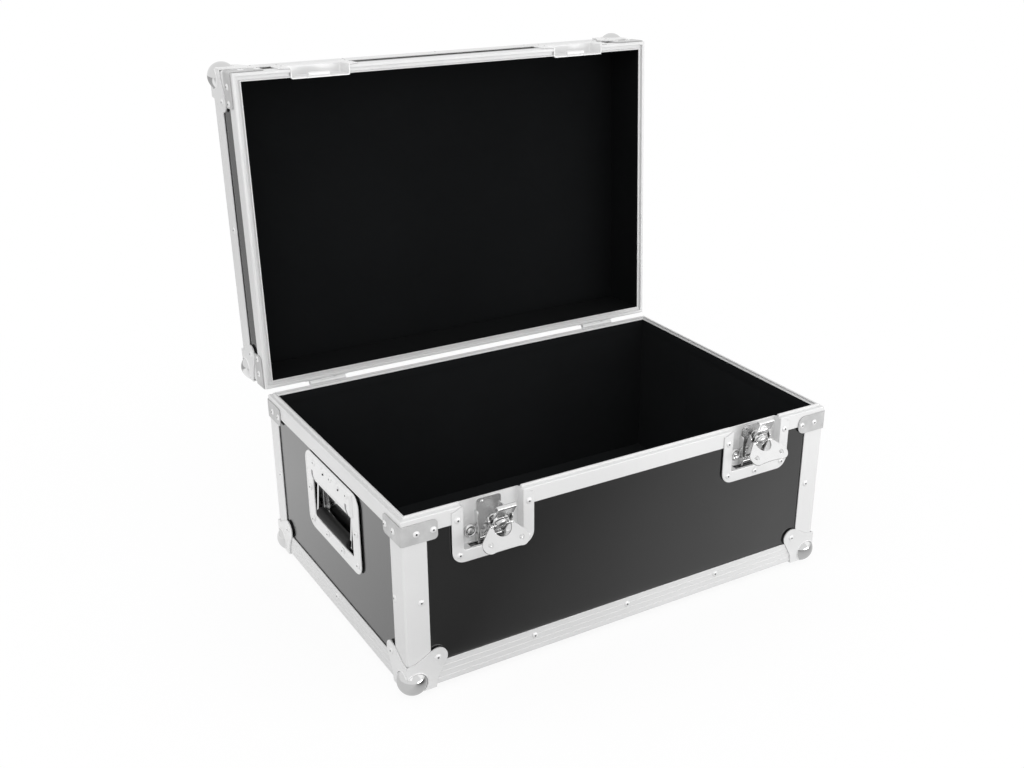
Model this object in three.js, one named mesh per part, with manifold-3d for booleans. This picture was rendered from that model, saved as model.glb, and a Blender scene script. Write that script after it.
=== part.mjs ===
// A small aluminium-edged transport case of laminated plywood, standing with its lid open.
// Millimetres, +Z up, front towards -Y. The sizes are outside sizes over the edge angles.
import * as THREE from 'three';
import { mergeVertices } from 'three/addons/utils/BufferGeometryUtils.js';
import Module from 'manifold-3d';

const wasm = await Module();
wasm.setup();

// Case
const caseWidth = 600;
const caseDepth = 400;
const baseHeight = 220;
const lidHeight = 80;
const panelThickness = 7;
const lidOpenAngle = 92.9;
const halfWidth = caseWidth / 2;
const halfDepth = caseDepth / 2;

// Clearances: what is riveted or glued on lies this far from its seat, and cuts run past by the overrun
const seatGap = 0.3;
const overrun = 5;

// Edge angles
const angleLeg = 30;
const angleThickness = 1.5;
const cornerCut = 31;

// Closing rims: the base has a tongue, the lid a groove
const rimWeb = 20;
const rimInnerWeb = 12;
const rimThickness = 1.5;
const rimInnerThickness = 1.2;
const tongueStart = 5;
const tongueWidth = 3;
const tongueHeight = 3;
const grooveClearance = 0.8;
const grooveDepthClearance = 0.6;

// Corner braces beside the rims
const braceLength = 43;
const braceTop = 6;
const braceBottom = 30;
const braceThickness = 1.2;
const braceRound = 6;

// Ball corners
const ballRadius = 18;
const ballInset = 10;
const cornerThickness = 1.5;
const lobeCentre = 37.5;
const lobeRadius = 12.5;
const notchReach = 35;
const notchShoulder = 10;
const cornerBevel = 8;
const tipMargin = 5;

// Butterfly latches
const latchInset = 112;
const latchOffset = halfWidth - latchInset;
const latchOpening = 75;
const latchFlange = 104;
const latchFlangeDrop = 70;
const latchFlangeTop = 5;
const latchFloorDrop = 54.5;
const latchDepth = 11;
const latchRound = 15;
const flangeRise = 1.2;
const dishWall = 1.2;
const bossRadius = 8;
const bossHeight = 4;
const bossEye = 3.2;
const bossOffset = 24.5;
const bossDrop = 39;
const guideTop = 15.5;
const guideOut = 7.5;

// Latch mechanism, measured from the pin at the foot of the carrier: along it, and out from the dish
const pivotDrop = 50;
const pivotOut = 3;
const pivotPinRadius = 1.2;
const pivotEyeRadius = 1.5;
const knuckleRadius = 2.5;
const carrierWidth = 28;
const carrierHeight = 50;
const carrierBack = 2.3;
const sheet = 1.5;
const cheekOut = 3.5;
const cheekStart = 6;
const guideThickness = 2;
const hubRadius = 11;
const hubThickness = 3.5;
const hubHeight = 36;
const hubShaftRadius = 3;
const domeRadius = 8;
const domeHeight = 5;
const hookTravel = 3.5;
const strapWidth = 24;
const strapStart = 12;
const strapTop = 52.5;
const hoodWidth = 23;
const hoodOut = 2.3;
const hookBridge = 64.8;
const hookTipDrop = 3.6;
const hookTipThickness = 1.2;
const hookTipBack = 2;
const earGap = 8.5;
const earThickness = 1.5;
const earLength = 5;
const earHeight = 4.2;
const wingPinRadius = 1;
const wingPinOut = 2.2;
const wingPinReach = 14.5;
const wingKnuckleRadius = 1.9;
const wingThickness = 1.8;
const wingArmInner = 10.3;
const wingLobeRadius = 9.5;
const wingLobeSpread = 19.5;
const wingLobeReach = 19.3;
const wingLobeStart = 0.2;
const wingLobeTurn = 0.4;
const wingNotchRadius = 11.4;
const wingNotchDrop = 2.4;
const wingWaist = 26.5;

// Keepers in the lid front
const keeperFlangeHeight = 33;
const keeperOpeningHeight = 28;
const lipShelf = 5.7;
const lipEdge = 10.6;
const lipWidth = 28;
const lipOut = 5;

// Recessed handles
const handleForward = 6.5;
const handleFlangeWidth = 160;
const handleRound = 16;
const handleOpeningWidth = 118;
const handleDepth = 10.5;
const bailAxisDrop = 47;
const bailAxisDepth = 6;
const bailDrop = 52.5;
const bailRestAngle = 4.4;
const bailSpan = 102;
const bailRod = 3;
const bailArmWidth = 4;
const gripRadius = 7;
const gripLength = 94;
const armSlotWidth = 10;
const armSlotClearance = 2.5;
const gripRoom = 2.5;
const pocketHead = 8;
const windowHead = 10;
const flangeFoot = 19.5;
const flangeHead = 17;
const cowlOut = 3;
const cowlSlope = 8;
const cowlOver = 5;
const cowlBorder = 1.5;
const cowlRound = 1.5;
const bailAxisHeight = baseHeight - bailAxisDrop;
const handlePocketTop = bailAxisHeight + pocketHead;
const handleWindowTop = bailAxisHeight - windowHead;
const handleOpeningBottom = bailAxisHeight - bailDrop - gripRadius - gripRoom;
const handleFlangeBottom = handleOpeningBottom - flangeFoot;
const handleFlangeTop = handlePocketTop + flangeHead;
const cowlTop = handleFlangeTop - cowlBorder;

// Back hinges
const hingeInset = 85;
const hingeOffset = halfWidth - hingeInset;
const hingeWidth = 60;
const hingeSetback = 4.5;
const hingeKnuckleRadius = 3.5;
const hingeKnuckleSpan = 50;
const hingeMiddleKnuckle = 20;
const hingePinRadius = 1.5;
const hingeLeaf = 1.5;
const hingeLeafHeight = 31;

// How the latches stand when the case is open: carriers tilted out, wings raised
const latches = [
  { side: 'left', x: -latchOffset, tilt: 35, wing: 65 },
  { side: 'right', x: latchOffset, tilt: 20, wing: 69 },
];

const panelFace = angleThickness + seatGap;
const panelInner = panelFace + panelThickness;
const rimDepth = panelInner + seatGap + rimInnerThickness;

const aluminium = new THREE.MeshStandardMaterial({ color: 0xd9dbda, roughness: 0.35, metalness: 1 });
const galvanised = new THREE.MeshStandardMaterial({ color: 0xa9adac, roughness: 0.45, metalness: 1 });
const zinc = new THREE.MeshStandardMaterial({ color: 0xdcdedd, roughness: 0.22, metalness: 1 });
const laminate = new THREE.MeshStandardMaterial({ color: 0x17191a, roughness: 0.35, metalness: 0 });
const rubber = new THREE.MeshStandardMaterial({ color: 0x101112, roughness: 0.7, metalness: 0 });

// Solids: joined and cut as closed meshes
function toSolid(geometry) {
  const bare = geometry.clone();
  bare.deleteAttribute('normal');
  bare.deleteAttribute('uv');
  const merged = mergeVertices(bare, 1e-4);
  const vertProperties = new Float32Array(merged.attributes.position.array);
  const triVerts = new Uint32Array(merged.index.array);
  return new wasm.Manifold(new wasm.Mesh({ numProp: 3, vertProperties, triVerts }));
}

function toGeometry(solid) {
  const mesh = solid.getMesh();
  const geometry = new THREE.BufferGeometry();
  geometry.setAttribute('position', new THREE.BufferAttribute(new Float32Array(mesh.vertProperties), 3));
  geometry.setIndex(new THREE.BufferAttribute(new Uint32Array(mesh.triVerts), 1));
  return geometry;
}

function join(first, ...others) {
  let solid = toSolid(first);
  for (const other of others) solid = solid.add(toSolid(other));
  return toGeometry(solid);
}

function cut(first, ...others) {
  let solid = toSolid(first);
  for (const other of others) solid = solid.subtract(toSolid(other));
  return toGeometry(solid);
}

function common(first, second) {
  return toGeometry(toSolid(first).intersect(toSolid(second)));
}

// A box between two limits on each axis
function box([x0, x1], [y0, y1], [z0, z1]) {
  const geometry = new THREE.BoxGeometry(x1 - x0, y1 - y0, z1 - z0);
  return geometry.translate((x0 + x1) / 2, (y0 + y1) / 2, (z0 + z1) / 2);
}

function outline(points) {
  return new THREE.Shape(points.map(([a, b]) => new THREE.Vector2(a, b)));
}

// Outlines drawn in (x, z) and run along Y, in (y, z) along X, and in (x, y) along Z
function alongY(shape, y0, y1, curveSegments = 8) {
  const geometry = new THREE.ExtrudeGeometry(shape, { depth: y1 - y0, bevelEnabled: false, curveSegments });
  const axes = [new THREE.Vector3(1, 0, 0), new THREE.Vector3(0, 0, 1), new THREE.Vector3(0, -1, 0)];
  return geometry.applyMatrix4(new THREE.Matrix4().makeBasis(...axes)).translate(0, y1, 0);
}

function alongX(shape, x0, x1, curveSegments = 8) {
  const geometry = new THREE.ExtrudeGeometry(shape, { depth: x1 - x0, bevelEnabled: false, curveSegments });
  const axes = [new THREE.Vector3(0, 1, 0), new THREE.Vector3(0, 0, 1), new THREE.Vector3(1, 0, 0)];
  return geometry.applyMatrix4(new THREE.Matrix4().makeBasis(...axes)).translate(x0, 0, 0);
}

function alongZ(shape, z0, z1) {
  return new THREE.ExtrudeGeometry(shape, { depth: z1 - z0, bevelEnabled: false }).translate(0, 0, z0);
}

// A rod along X between two ends, centred on (y, z)
function rodX(radius, x0, x1, y, z, sides = 16) {
  return new THREE.CylinderGeometry(radius, radius, x1 - x0, sides)
    .rotateZ(-Math.PI / 2)
    .translate((x0 + x1) / 2, y, z);
}

// A disc facing out along -Y between two depths, centred on (x, z)
function discY(radius, y0, y1, x, z, sides = 24) {
  return new THREE.CylinderGeometry(radius, radius, y1 - y0, sides).translate(x, (y0 + y1) / 2, z);
}

// Turns a mirrored mesh's faces outwards again
function turnFaces(geometry) {
  const turned = geometry.index ? geometry : mergeVertices(geometry);
  const index = turned.index.array;
  for (let i = 0; i < index.length; i += 3) [index[i], index[i + 1]] = [index[i + 1], index[i]];
  return turned;
}

// Mirrors and moves a piece drawn in corner coordinates, where every axis points into the case
function atCorner(geometry, [sx, sy, sz], [x, y, z]) {
  const placed = geometry.clone().scale(sx, sy, sz).translate(x, y, z);
  return sx * sy * sz < 0 ? turnFaces(placed) : placed;
}

// Swaps the first two axes, so a piece drawn for the front serves the side
function swapXY(geometry) {
  const axes = [new THREE.Vector3(0, 1, 0), new THREE.Vector3(1, 0, 0), new THREE.Vector3(0, 0, 1)];
  return turnFaces(geometry.clone().applyMatrix4(new THREE.Matrix4().makeBasis(...axes)));
}

// A profile of (inset, height) points carried round the case with mitred corners
function rimRing(profile) {
  const signs = [[-1, -1], [1, -1], [1, 1], [-1, 1]];
  const positions = [];
  for (const [sx, sy] of signs) {
    for (const [inset, height] of profile) {
      positions.push(sx * (halfWidth - inset), sy * (halfDepth - inset), height);
    }
  }
  const count = profile.length;
  const index = [];
  for (let corner = 0; corner < signs.length; corner += 1) {
    for (let i = 0; i < count; i += 1) {
      const a = corner * count + i;
      const b = corner * count + ((i + 1) % count);
      const c = ((corner + 1) % signs.length) * count + i;
      const d = ((corner + 1) % signs.length) * count + ((i + 1) % count);
      index.push(a, b, c, b, d, c);
    }
  }
  const geometry = new THREE.BufferGeometry();
  geometry.setAttribute('position', new THREE.Float32BufferAttribute(positions, 3));
  geometry.setIndex(index);
  return geometry;
}

const root = new THREE.Group();
const base = new THREE.Group();
const lid = new THREE.Group();
root.add(base, lid);

function addPart(group, name, geometry, material) {
  const mesh = new THREE.Mesh(geometry, material);
  mesh.name = name;
  group.add(mesh);
  return mesh;
}

const corners = [
  { name: 'front_left', x: -1, y: -1 },
  { name: 'front_right', x: 1, y: -1 },
  { name: 'back_left', x: -1, y: 1 },
  { name: 'back_right', x: 1, y: 1 },
];

// Panels: the front and back run past the sides, and the floor lies inside all four
function latchCutouts(z0, z1) {
  const half = latchOpening / 2 + dishWall + seatGap;
  const through = [-halfDepth - overrun, -halfDepth + rimDepth + overrun];
  return latches.map(({ x }) => box([x - half, x + half], through, [z0, z1]));
}

function addBasePanels() {
  const x = halfWidth - panelFace;
  const y = halfDepth - panelFace;
  const top = baseHeight - rimThickness - seatGap;
  const foot = panelFace;
  const floorX = halfWidth - panelInner - seatGap;
  const floorY = halfDepth - panelInner - seatGap;
  const floor = box([-floorX, floorX], [-floorY, floorY], [panelFace, panelInner]);
  const front = box([-x, x], [-y, -y + panelThickness], [foot, top]);
  const back = box([-x, x], [y - panelThickness, y], [foot, top]);
  const sideEnd = y - panelThickness - seatGap;
  const left = box([-x, -x + panelThickness], [-sideEnd, sideEnd], [foot, top]);
  const right = box([x - panelThickness, x], [-sideEnd, sideEnd], [foot, top]);
  const latchFoot = baseHeight - latchFloorDrop - dishWall - seatGap;
  const halfHandle = handleOpeningWidth / 2 + dishWall + seatGap;
  const handleHole = box(
    [-halfWidth - overrun, halfWidth + overrun],
    [-halfHandle - handleForward, halfHandle - handleForward],
    [handleOpeningBottom - dishWall - seatGap, handlePocketTop + dishWall + seatGap],
  );
  addPart(base, 'base_bottom_panel', floor, laminate);
  addPart(base, 'base_front_panel', cut(front, ...latchCutouts(latchFoot, baseHeight + overrun)), laminate);
  addPart(base, 'base_back_panel', back, laminate);
  addPart(base, 'base_left_panel', cut(left, handleHole), laminate);
  addPart(base, 'base_right_panel', cut(right, handleHole), laminate);
}

// The lid's boards are glued into one tray: four walls under the top board
function addLidTray() {
  const x = halfWidth - panelFace;
  const y = halfDepth - panelFace;
  const foot = tongueHeight + grooveDepthClearance + rimThickness + seatGap;
  const outer = box([-x, x], [-y, y], [foot, lidHeight - panelFace]);
  const inner = box(
    [-x + panelThickness, x - panelThickness],
    [-y + panelThickness, y - panelThickness],
    [foot - overrun, lidHeight - panelInner],
  );
  const keeperTop = keeperOpeningHeight + dishWall + seatGap;
  addPart(lid, 'lid_board_tray', cut(outer, inner, ...latchCutouts(-overrun, keeperTop)), laminate);
}

// Edge angles, drawn along X with the corner of the L at the origin
function angleProfile() {
  return outline([
    [0, 0], [angleLeg, 0], [angleLeg, angleThickness],
    [angleThickness, angleThickness], [angleThickness, angleLeg], [0, angleLeg],
  ]);
}

function addEdgeAngles(group, word, sz, z) {
  const alongFront = alongX(angleProfile(), -halfWidth + cornerCut, halfWidth - cornerCut);
  const alongSide = swapXY(alongX(angleProfile(), -halfDepth + cornerCut, halfDepth - cornerCut));
  addPart(group, `${word}_front`, atCorner(alongFront, [1, 1, sz], [0, -halfDepth, z]), aluminium);
  addPart(group, `${word}_back`, atCorner(alongFront, [1, -1, sz], [0, halfDepth, z]), aluminium);
  addPart(group, `${word}_left`, atCorner(alongSide, [1, 1, sz], [-halfWidth, 0, z]), aluminium);
  addPart(group, `${word}_right`, atCorner(alongSide, [-1, 1, sz], [halfWidth, 0, z]), aluminium);
}

function addCornerPosts() {
  const post = alongZ(angleProfile(), cornerCut, baseHeight - rimWeb - seatGap);
  for (const { name, x, y } of corners) {
    const place = [x * halfWidth, y * halfDepth, 0];
    addPart(base, `base_corner_post_${name}`, atCorner(post, [-x, -y, 1], place), aluminium);
  }
}

// Rims: the length between the latches is a piece of its own
function addRims() {
  const baseProfile = [
    [0, -rimWeb], [rimThickness, -rimWeb], [rimThickness, -rimThickness],
    [rimDepth - rimInnerThickness, -rimThickness], [rimDepth - rimInnerThickness, -rimInnerWeb],
    [rimDepth, -rimInnerWeb], [rimDepth, 0], [tongueStart + tongueWidth, 0],
    [tongueStart + tongueWidth, tongueHeight], [tongueStart, tongueHeight], [tongueStart, 0], [0, 0],
  ];
  const grooveStart = tongueStart - grooveClearance;
  const grooveEnd = tongueStart + tongueWidth + grooveClearance;
  const grooveTop = tongueHeight + grooveDepthClearance;
  const roof = grooveTop + rimThickness;
  const lidProfile = [
    [0, 0], [grooveStart, 0], [grooveStart, grooveTop], [grooveEnd, grooveTop], [grooveEnd, 0],
    [rimDepth, 0], [rimDepth, rimInnerWeb], [rimDepth - rimInnerThickness, rimInnerWeb],
    [rimDepth - rimInnerThickness, roof], [rimThickness, roof], [rimThickness, rimWeb], [0, rimWeb],
  ];
  const half = latchOpening / 2 + dishWall + seatGap;
  const inner = latchOffset - half;
  const outer = latchOffset + half;
  const frontZone = [-halfDepth - overrun, -halfDepth + rimDepth + overrun];
  const tall = [-rimWeb - overrun, rimWeb + overrun];
  const gap = box([-outer, outer], frontZone, tall);
  const middle = box([-inner, inner], frontZone, tall);
  const baseRing = rimRing(baseProfile);
  const lidRing = rimRing(lidProfile);
  addPart(base, 'base_rim_frame', cut(baseRing, gap).translate(0, 0, baseHeight), aluminium);
  addPart(base, 'base_rim_front_middle', common(baseRing, middle).translate(0, 0, baseHeight), aluminium);
  addPart(lid, 'lid_rim_frame', cut(lidRing, gap), aluminium);
  addPart(lid, 'lid_rim_front_middle', common(lidRing, middle), aluminium);
}

// A brace wraps the corner beside a rim; heights run away from the rim plane
function cornerBrace() {
  const end = braceLength - braceRound;
  const shape = new THREE.Shape();
  const start = -seatGap - braceThickness;
  shape.moveTo(start, braceTop);
  shape.lineTo(end, braceTop);
  shape.absarc(end, braceTop + braceRound, braceRound, -Math.PI / 2, 0);
  shape.absarc(end, braceBottom - braceRound, braceRound, 0, Math.PI / 2);
  shape.lineTo(start, braceBottom);
  const plate = alongY(shape, start, -seatGap, 4);
  return join(plate, swapXY(plate));
}

function addCornerBraces() {
  const brace = cornerBrace();
  for (const { name, x, y } of corners) {
    const place = [x * halfWidth, y * halfDepth];
    const below = atCorner(brace, [-x, -y, -1], [...place, baseHeight]);
    addPart(base, `base_corner_brace_${name}`, below, galvanised);
    addPart(lid, `lid_corner_brace_${name}`, atCorner(brace, [-x, -y, 1], [...place, 0]), galvanised);
  }
}

// A ball corner: three lobes, one on each face, round a ball that stands proud of all three
function ballCorner() {
  const skin = -seatGap - cornerThickness;
  const lobe = new THREE.Shape();
  lobe.moveTo(skin, skin);
  lobe.lineTo(notchReach, skin);
  lobe.lineTo(notchReach + cornerThickness, notchShoulder);
  const diagonal = lobeRadius * Math.SQRT1_2;
  lobe.lineTo(lobeCentre + diagonal, lobeCentre - diagonal);
  lobe.absarc(lobeCentre, lobeCentre, lobeRadius, -Math.PI / 4, (3 * Math.PI) / 4);
  lobe.lineTo(notchShoulder, notchReach + cornerThickness);
  lobe.lineTo(skin, notchReach);
  const front = alongY(lobe, skin, angleThickness, 6);
  const side = swapXY(front);
  const under = alongZ(lobe, skin, angleThickness);
  const reach = lobeCentre + lobeRadius + overrun;
  const out = skin - tipMargin;
  const along = skin + cornerBevel + 2 * tipMargin;
  const tip = [[out, out, out], [along, out, out], [out, along, out], [out, out, along]];
  const tipGeometry = new THREE.BufferGeometry();
  tipGeometry.setAttribute('position', new THREE.Float32BufferAttribute(tip.flat(), 3));
  tipGeometry.setIndex([0, 2, 1, 0, 1, 3, 0, 3, 2, 1, 2, 3]);
  const ball = new THREE.SphereGeometry(ballRadius, 24, 14).translate(ballInset, ballInset, ballInset);
  const inside = box([-seatGap, reach], [-seatGap, reach], [-seatGap, reach]);
  const edge = cornerCut - seatGap;
  const keep = box([-reach, edge], [-reach, edge], [-reach, edge]);
  const face = panelFace - seatGap;
  const panels = box([face, reach], [face, reach], [face, reach]);
  const shell = join(cut(join(front, side, under), tipGeometry), ball);
  return cut(shell, cut(inside, keep), panels);
}

function addBallCorners() {
  const corner = ballCorner();
  for (const { name, x, y } of corners) {
    const place = [x * halfWidth, y * halfDepth];
    addPart(base, `base_ball_corner_${name}`, atCorner(corner, [-x, -y, 1], [...place, 0]), zinc);
    addPart(lid, `lid_ball_corner_${name}`, atCorner(corner, [-x, -y, -1], [...place, lidHeight]), zinc);
  }
}

// A dish flange sits on the panel, and steps out over the rim web where it crosses it
function flangeStep(x, z) {
  return box(x, [-halfDepth - seatGap, -halfDepth + overrun], z);
}

// A latch dish: an open-topped pocket with a flange, a boss, and guides that hold the carrier's pin
function latchDish(x) {
  const half = latchFlange / 2;
  const opening = latchOpening / 2;
  const front = -halfDepth - seatGap - flangeRise;
  const back = -halfDepth + latchDepth;
  const foot = baseHeight - latchFlangeDrop;
  const top = baseHeight - seatGap;
  const floor = baseHeight - latchFloorDrop;
  const web = baseHeight - rimWeb - seatGap;
  const shape = new THREE.Shape();
  shape.moveTo(-half, baseHeight - latchFlangeTop);
  shape.lineTo(-half, foot + latchRound);
  shape.absarc(-half + latchRound, foot + latchRound, latchRound, Math.PI, 1.5 * Math.PI);
  shape.absarc(half - latchRound, foot + latchRound, latchRound, -Math.PI / 2, 0);
  shape.lineTo(half, baseHeight - latchFlangeTop);
  const flange = cut(
    alongY(shape, front, -halfDepth + angleThickness, 6),
    flangeStep([-half - overrun, half + overrun], [web, top + overrun]),
  );
  const wall = opening + dishWall;
  const pocket = box([-wall, wall], [front, back + dishWall], [floor - dishWall, top]);
  const hollow = box([-opening, opening], [front - overrun, back], [floor, top + overrun]);
  const bossZ = baseHeight - bossDrop;
  const boss = cut(
    discY(bossRadius, back - bossHeight, back + dishWall / 2, -bossOffset, bossZ),
    discY(bossEye, back - bossHeight - overrun, back - bossHeight / 2, -bossOffset, bossZ, 12),
  );
  const pinY = back - pivotOut;
  const pinZ = baseHeight - pivotDrop;
  const guideInner = carrierWidth / 2 + sheet + seatGap;
  const guides = [-guideInner - guideThickness, guideInner].map((start) => box(
    [start, start + guideThickness],
    [back - guideOut, back + dishWall / 2],
    [floor - dishWall / 2, baseHeight - guideTop],
  ));
  const pinEnd = guideInner + guideThickness / 2;
  const pin = rodX(pivotPinRadius, -pinEnd, pinEnd, pinY, pinZ, 10);
  return join(cut(join(flange, pocket), hollow), boss, ...guides, pin).translate(x, 0, 0);
}

// The carrier tilts on the pin. Its pieces are drawn upright: x across, -y out, z along, pin at the origin.
function carrierPlate() {
  const half = carrierWidth / 2;
  const back = carrierBack;
  const front = carrierBack - sheet;
  const plate = box([-half, half], [front, back], [0, carrierHeight]);
  const cheeks = [-half - sheet, half].map((start) => box(
    [start, start + sheet], [-cheekOut, back], [cheekStart, carrierHeight - cheekStart],
  ));
  const ribs = [cheekStart, carrierHeight];
  const tabs = [-half, half - sheet].map((start) => box([start, start + sheet], [front, back], ribs));
  const knuckle = rodX(knuckleRadius, -half, half, 0, 0);
  const eye = rodX(pivotEyeRadius, -half - overrun, half + overrun, 0, 0, 12);
  return cut(join(plate, knuckle, ...cheeks, ...tabs), eye);
}

// The hook plate slides on the carrier. Its hood steps over the keeper's lip and turns in behind it.
function hookPlate() {
  const back = carrierBack - sheet - seatGap;
  const front = back - sheet;
  const hoodBack = -hoodOut;
  const hoodFront = hoodBack - sheet;
  const top = hookBridge + sheet;
  const strap = box([-strapWidth / 2, strapWidth / 2], [front, back], [strapStart, strapTop]);
  const step = box([-hoodWidth / 2, hoodWidth / 2], [hoodFront, back], [strapTop - sheet, strapTop]);
  const hood = box([-hoodWidth / 2, hoodWidth / 2], [hoodFront, hoodBack], [strapTop - sheet, top]);
  const bridge = box([-hoodWidth / 2, hoodWidth / 2], [hoodFront, hookTipBack], [hookBridge, top]);
  const tip = box(
    [-hoodWidth / 2, hoodWidth / 2],
    [hookTipBack - hookTipThickness, hookTipBack],
    [hookBridge - hookTipDrop, top],
  );
  const slotHalf = hubShaftRadius + seatGap;
  const slot = box(
    [-slotHalf, slotHalf],
    [front - overrun, back + overrun],
    [hubHeight - slotHalf, hubHeight + slotHalf + hookTravel],
  );
  return cut(join(strap, step, hood, bridge, tip), slot);
}

function hubBack() {
  return carrierBack - sheet - 2 * seatGap - sheet;
}

function wingPinY() {
  return hubBack() - hubThickness - wingPinOut;
}

// The hub turns on the carrier: a disc with a dome, and two ears beside it that hold the wing's pin
function latchHub() {
  const back = hubBack();
  const front = back - hubThickness;
  const middle = back - hubThickness / 2;
  const disc = discY(hubRadius, front, back, 0, hubHeight, 32);
  const shaft = discY(hubShaftRadius, middle, carrierBack - sheet - seatGap, 0, hubHeight, 12);
  const ball = new THREE.SphereGeometry(1, 20, 12)
    .scale(domeRadius, domeHeight, domeRadius)
    .translate(0, front, hubHeight);
  const reach = domeRadius + overrun;
  const proud = box([-reach, reach], [front - reach, middle], [hubHeight - reach, hubHeight + reach]);
  const ears = [-earGap - earThickness, earGap].map((start) => box(
    [start, start + earThickness],
    [front - earHeight, front + hubThickness / 2],
    [hubHeight - earLength / 2, hubHeight + earLength / 2],
  ));
  const pin = rodX(wingPinRadius, -wingPinReach, wingPinReach, wingPinY(), hubHeight, 10);
  return join(disc, shaft, common(ball, proud), ...ears, pin);
}

// The wing, lying folded down round the hub: an arm on each side of it and two round lobes
function latchWing() {
  const pinY = wingPinY();
  const shape = new THREE.Shape();
  const centre = hubHeight - wingLobeReach;
  const start = wingLobeStart * Math.PI;
  const turn = wingLobeTurn * Math.PI;
  const endX = wingLobeSpread - wingLobeRadius * Math.cos(turn);
  const endZ = centre - wingLobeRadius * Math.sin(turn);
  const notchZ = hubHeight - wingNotchDrop;
  shape.moveTo(-wingArmInner, hubHeight);
  shape.lineTo(-wingPinReach, hubHeight);
  shape.absarc(-wingLobeSpread, centre, wingLobeRadius, Math.PI - start, 2 * Math.PI - turn);
  shape.quadraticCurveTo(0, hubHeight - wingWaist, endX, endZ);
  shape.absarc(wingLobeSpread, centre, wingLobeRadius, Math.PI + turn, 2 * Math.PI + start);
  shape.lineTo(wingPinReach, hubHeight);
  shape.lineTo(wingArmInner, hubHeight);
  shape.absarc(0, notchZ, wingNotchRadius, 0, Math.PI, true);
  const blade = alongY(shape, pinY - wingThickness / 2, pinY + wingThickness / 2, 8);
  const knuckles = [[-wingPinReach, -wingArmInner], [wingArmInner, wingPinReach]].map(([x0, x1]) => (
    rodX(wingKnuckleRadius, x0, x1, pinY, hubHeight, 12)
  ));
  const reach = wingPinReach + overrun;
  const eye = rodX(wingPinRadius + seatGap, -reach, reach, pinY, hubHeight, 10);
  return cut(join(blade, ...knuckles), eye);
}

function addLatches() {
  for (const { side, x, tilt, wing } of latches) {
    addPart(base, `latch_dish_${side}`, latchDish(x), zinc);
    const carrier = new THREE.Group();
    carrier.position.set(x, -halfDepth + latchDepth - pivotOut, baseHeight - pivotDrop);
    carrier.rotation.x = THREE.MathUtils.degToRad(tilt);
    base.add(carrier);
    addPart(carrier, `latch_carrier_${side}`, carrierPlate(), zinc);
    addPart(carrier, `latch_hook_${side}`, hookPlate(), zinc);
    addPart(carrier, `latch_hub_${side}`, latchHub(), zinc);
    const hinge = new THREE.Group();
    hinge.position.set(0, wingPinY(), hubHeight);
    hinge.rotation.x = THREE.MathUtils.degToRad(-wing);
    carrier.add(hinge);
    addPart(hinge, `latch_wing_${side}`, latchWing().translate(0, -wingPinY(), -hubHeight), zinc);
  }
}

// A keeper: the lid's half of the latch pocket, with the upturned lip that the hook takes
function keeper(x) {
  const half = latchFlange / 2;
  const opening = latchOpening / 2;
  const front = -halfDepth - seatGap - flangeRise;
  const back = -halfDepth + latchDepth;
  const top = latchFlangeTop + keeperFlangeHeight;
  const round = latchRound / 2;
  const shape = new THREE.Shape();
  shape.moveTo(-half, latchFlangeTop);
  shape.lineTo(half, latchFlangeTop);
  shape.lineTo(half, top - round);
  shape.absarc(half - round, top - round, round, 0, Math.PI / 2);
  shape.absarc(-half + round, top - round, round, Math.PI / 2, Math.PI);
  const flange = cut(
    alongY(shape, front, -halfDepth + angleThickness, 6),
    flangeStep([-half - overrun, half + overrun], [-overrun, rimWeb + seatGap]),
  );
  const pocket = box([-opening - dishWall, opening + dishWall], [front, back + dishWall],
    [seatGap, keeperOpeningHeight + dishWall]);
  const hollow = box([-opening, opening], [front - overrun, back], [-overrun, keeperOpeningHeight]);
  const lipX = [-lipWidth / 2, lipWidth / 2];
  const shelf = box(lipX, [back - lipOut, back + dishWall / 2], [lipShelf, lipShelf + sheet]);
  const edge = box(lipX, [back - lipOut, back - lipOut + sheet], [lipShelf, lipEdge]);
  return join(cut(join(flange, pocket), hollow), shelf, edge).translate(x, 0, 0);
}

// A handle dish for the left side, drawn with x running in from the case's outer plane
function handleDish() {
  const front = -seatGap - flangeRise;
  const half = handleFlangeWidth / 2;
  const opening = handleOpeningWidth / 2;
  const foot = handleFlangeBottom;
  const top = handleFlangeTop;
  const r = handleRound;
  const shape = new THREE.Shape();
  shape.absarc(-half + r, foot + r, r, Math.PI, 1.5 * Math.PI);
  shape.absarc(half - r, foot + r, r, -Math.PI / 2, 0);
  shape.absarc(half - r, top - r, r, 0, Math.PI / 2);
  shape.absarc(-half + r, top - r, r, Math.PI / 2, Math.PI);
  const flange = alongX(shape, front, angleThickness, 6);
  const pocket = box(
    [front + dishWall, handleDepth + dishWall],
    [-opening - dishWall, opening + dishWall],
    [handleOpeningBottom - dishWall, handlePocketTop + dishWall],
  );
  const across = [-opening, opening];
  const hollow = box([angleThickness, handleDepth], across, [handleOpeningBottom, handlePocketTop]);
  const window = box([front - overrun, handleDepth], across, [handleOpeningBottom, handleWindowTop]);
  const cowlProfile = outline([
    [angleThickness, handleWindowTop],
    [front, handleWindowTop],
    [front - cowlOut, handleWindowTop + cowlSlope],
    [front - cowlOut, cowlTop - cowlRound],
    [front, cowlTop],
    [angleThickness, cowlTop],
  ]);
  const cowl = alongY(cowlProfile, -opening - cowlOver, opening + cowlOver);
  const armCentre = bailSpan / 2;
  const slotTop = bailAxisHeight + bailRod + armSlotClearance;
  const slots = [-armCentre, armCentre].map((y) => box(
    [front - cowlOut - overrun, handleDepth],
    [y - armSlotWidth / 2, y + armSlotWidth / 2],
    [handleOpeningBottom, slotTop],
  ));
  return cut(join(flange, pocket, cowl), hollow, window, ...slots);
}

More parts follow.
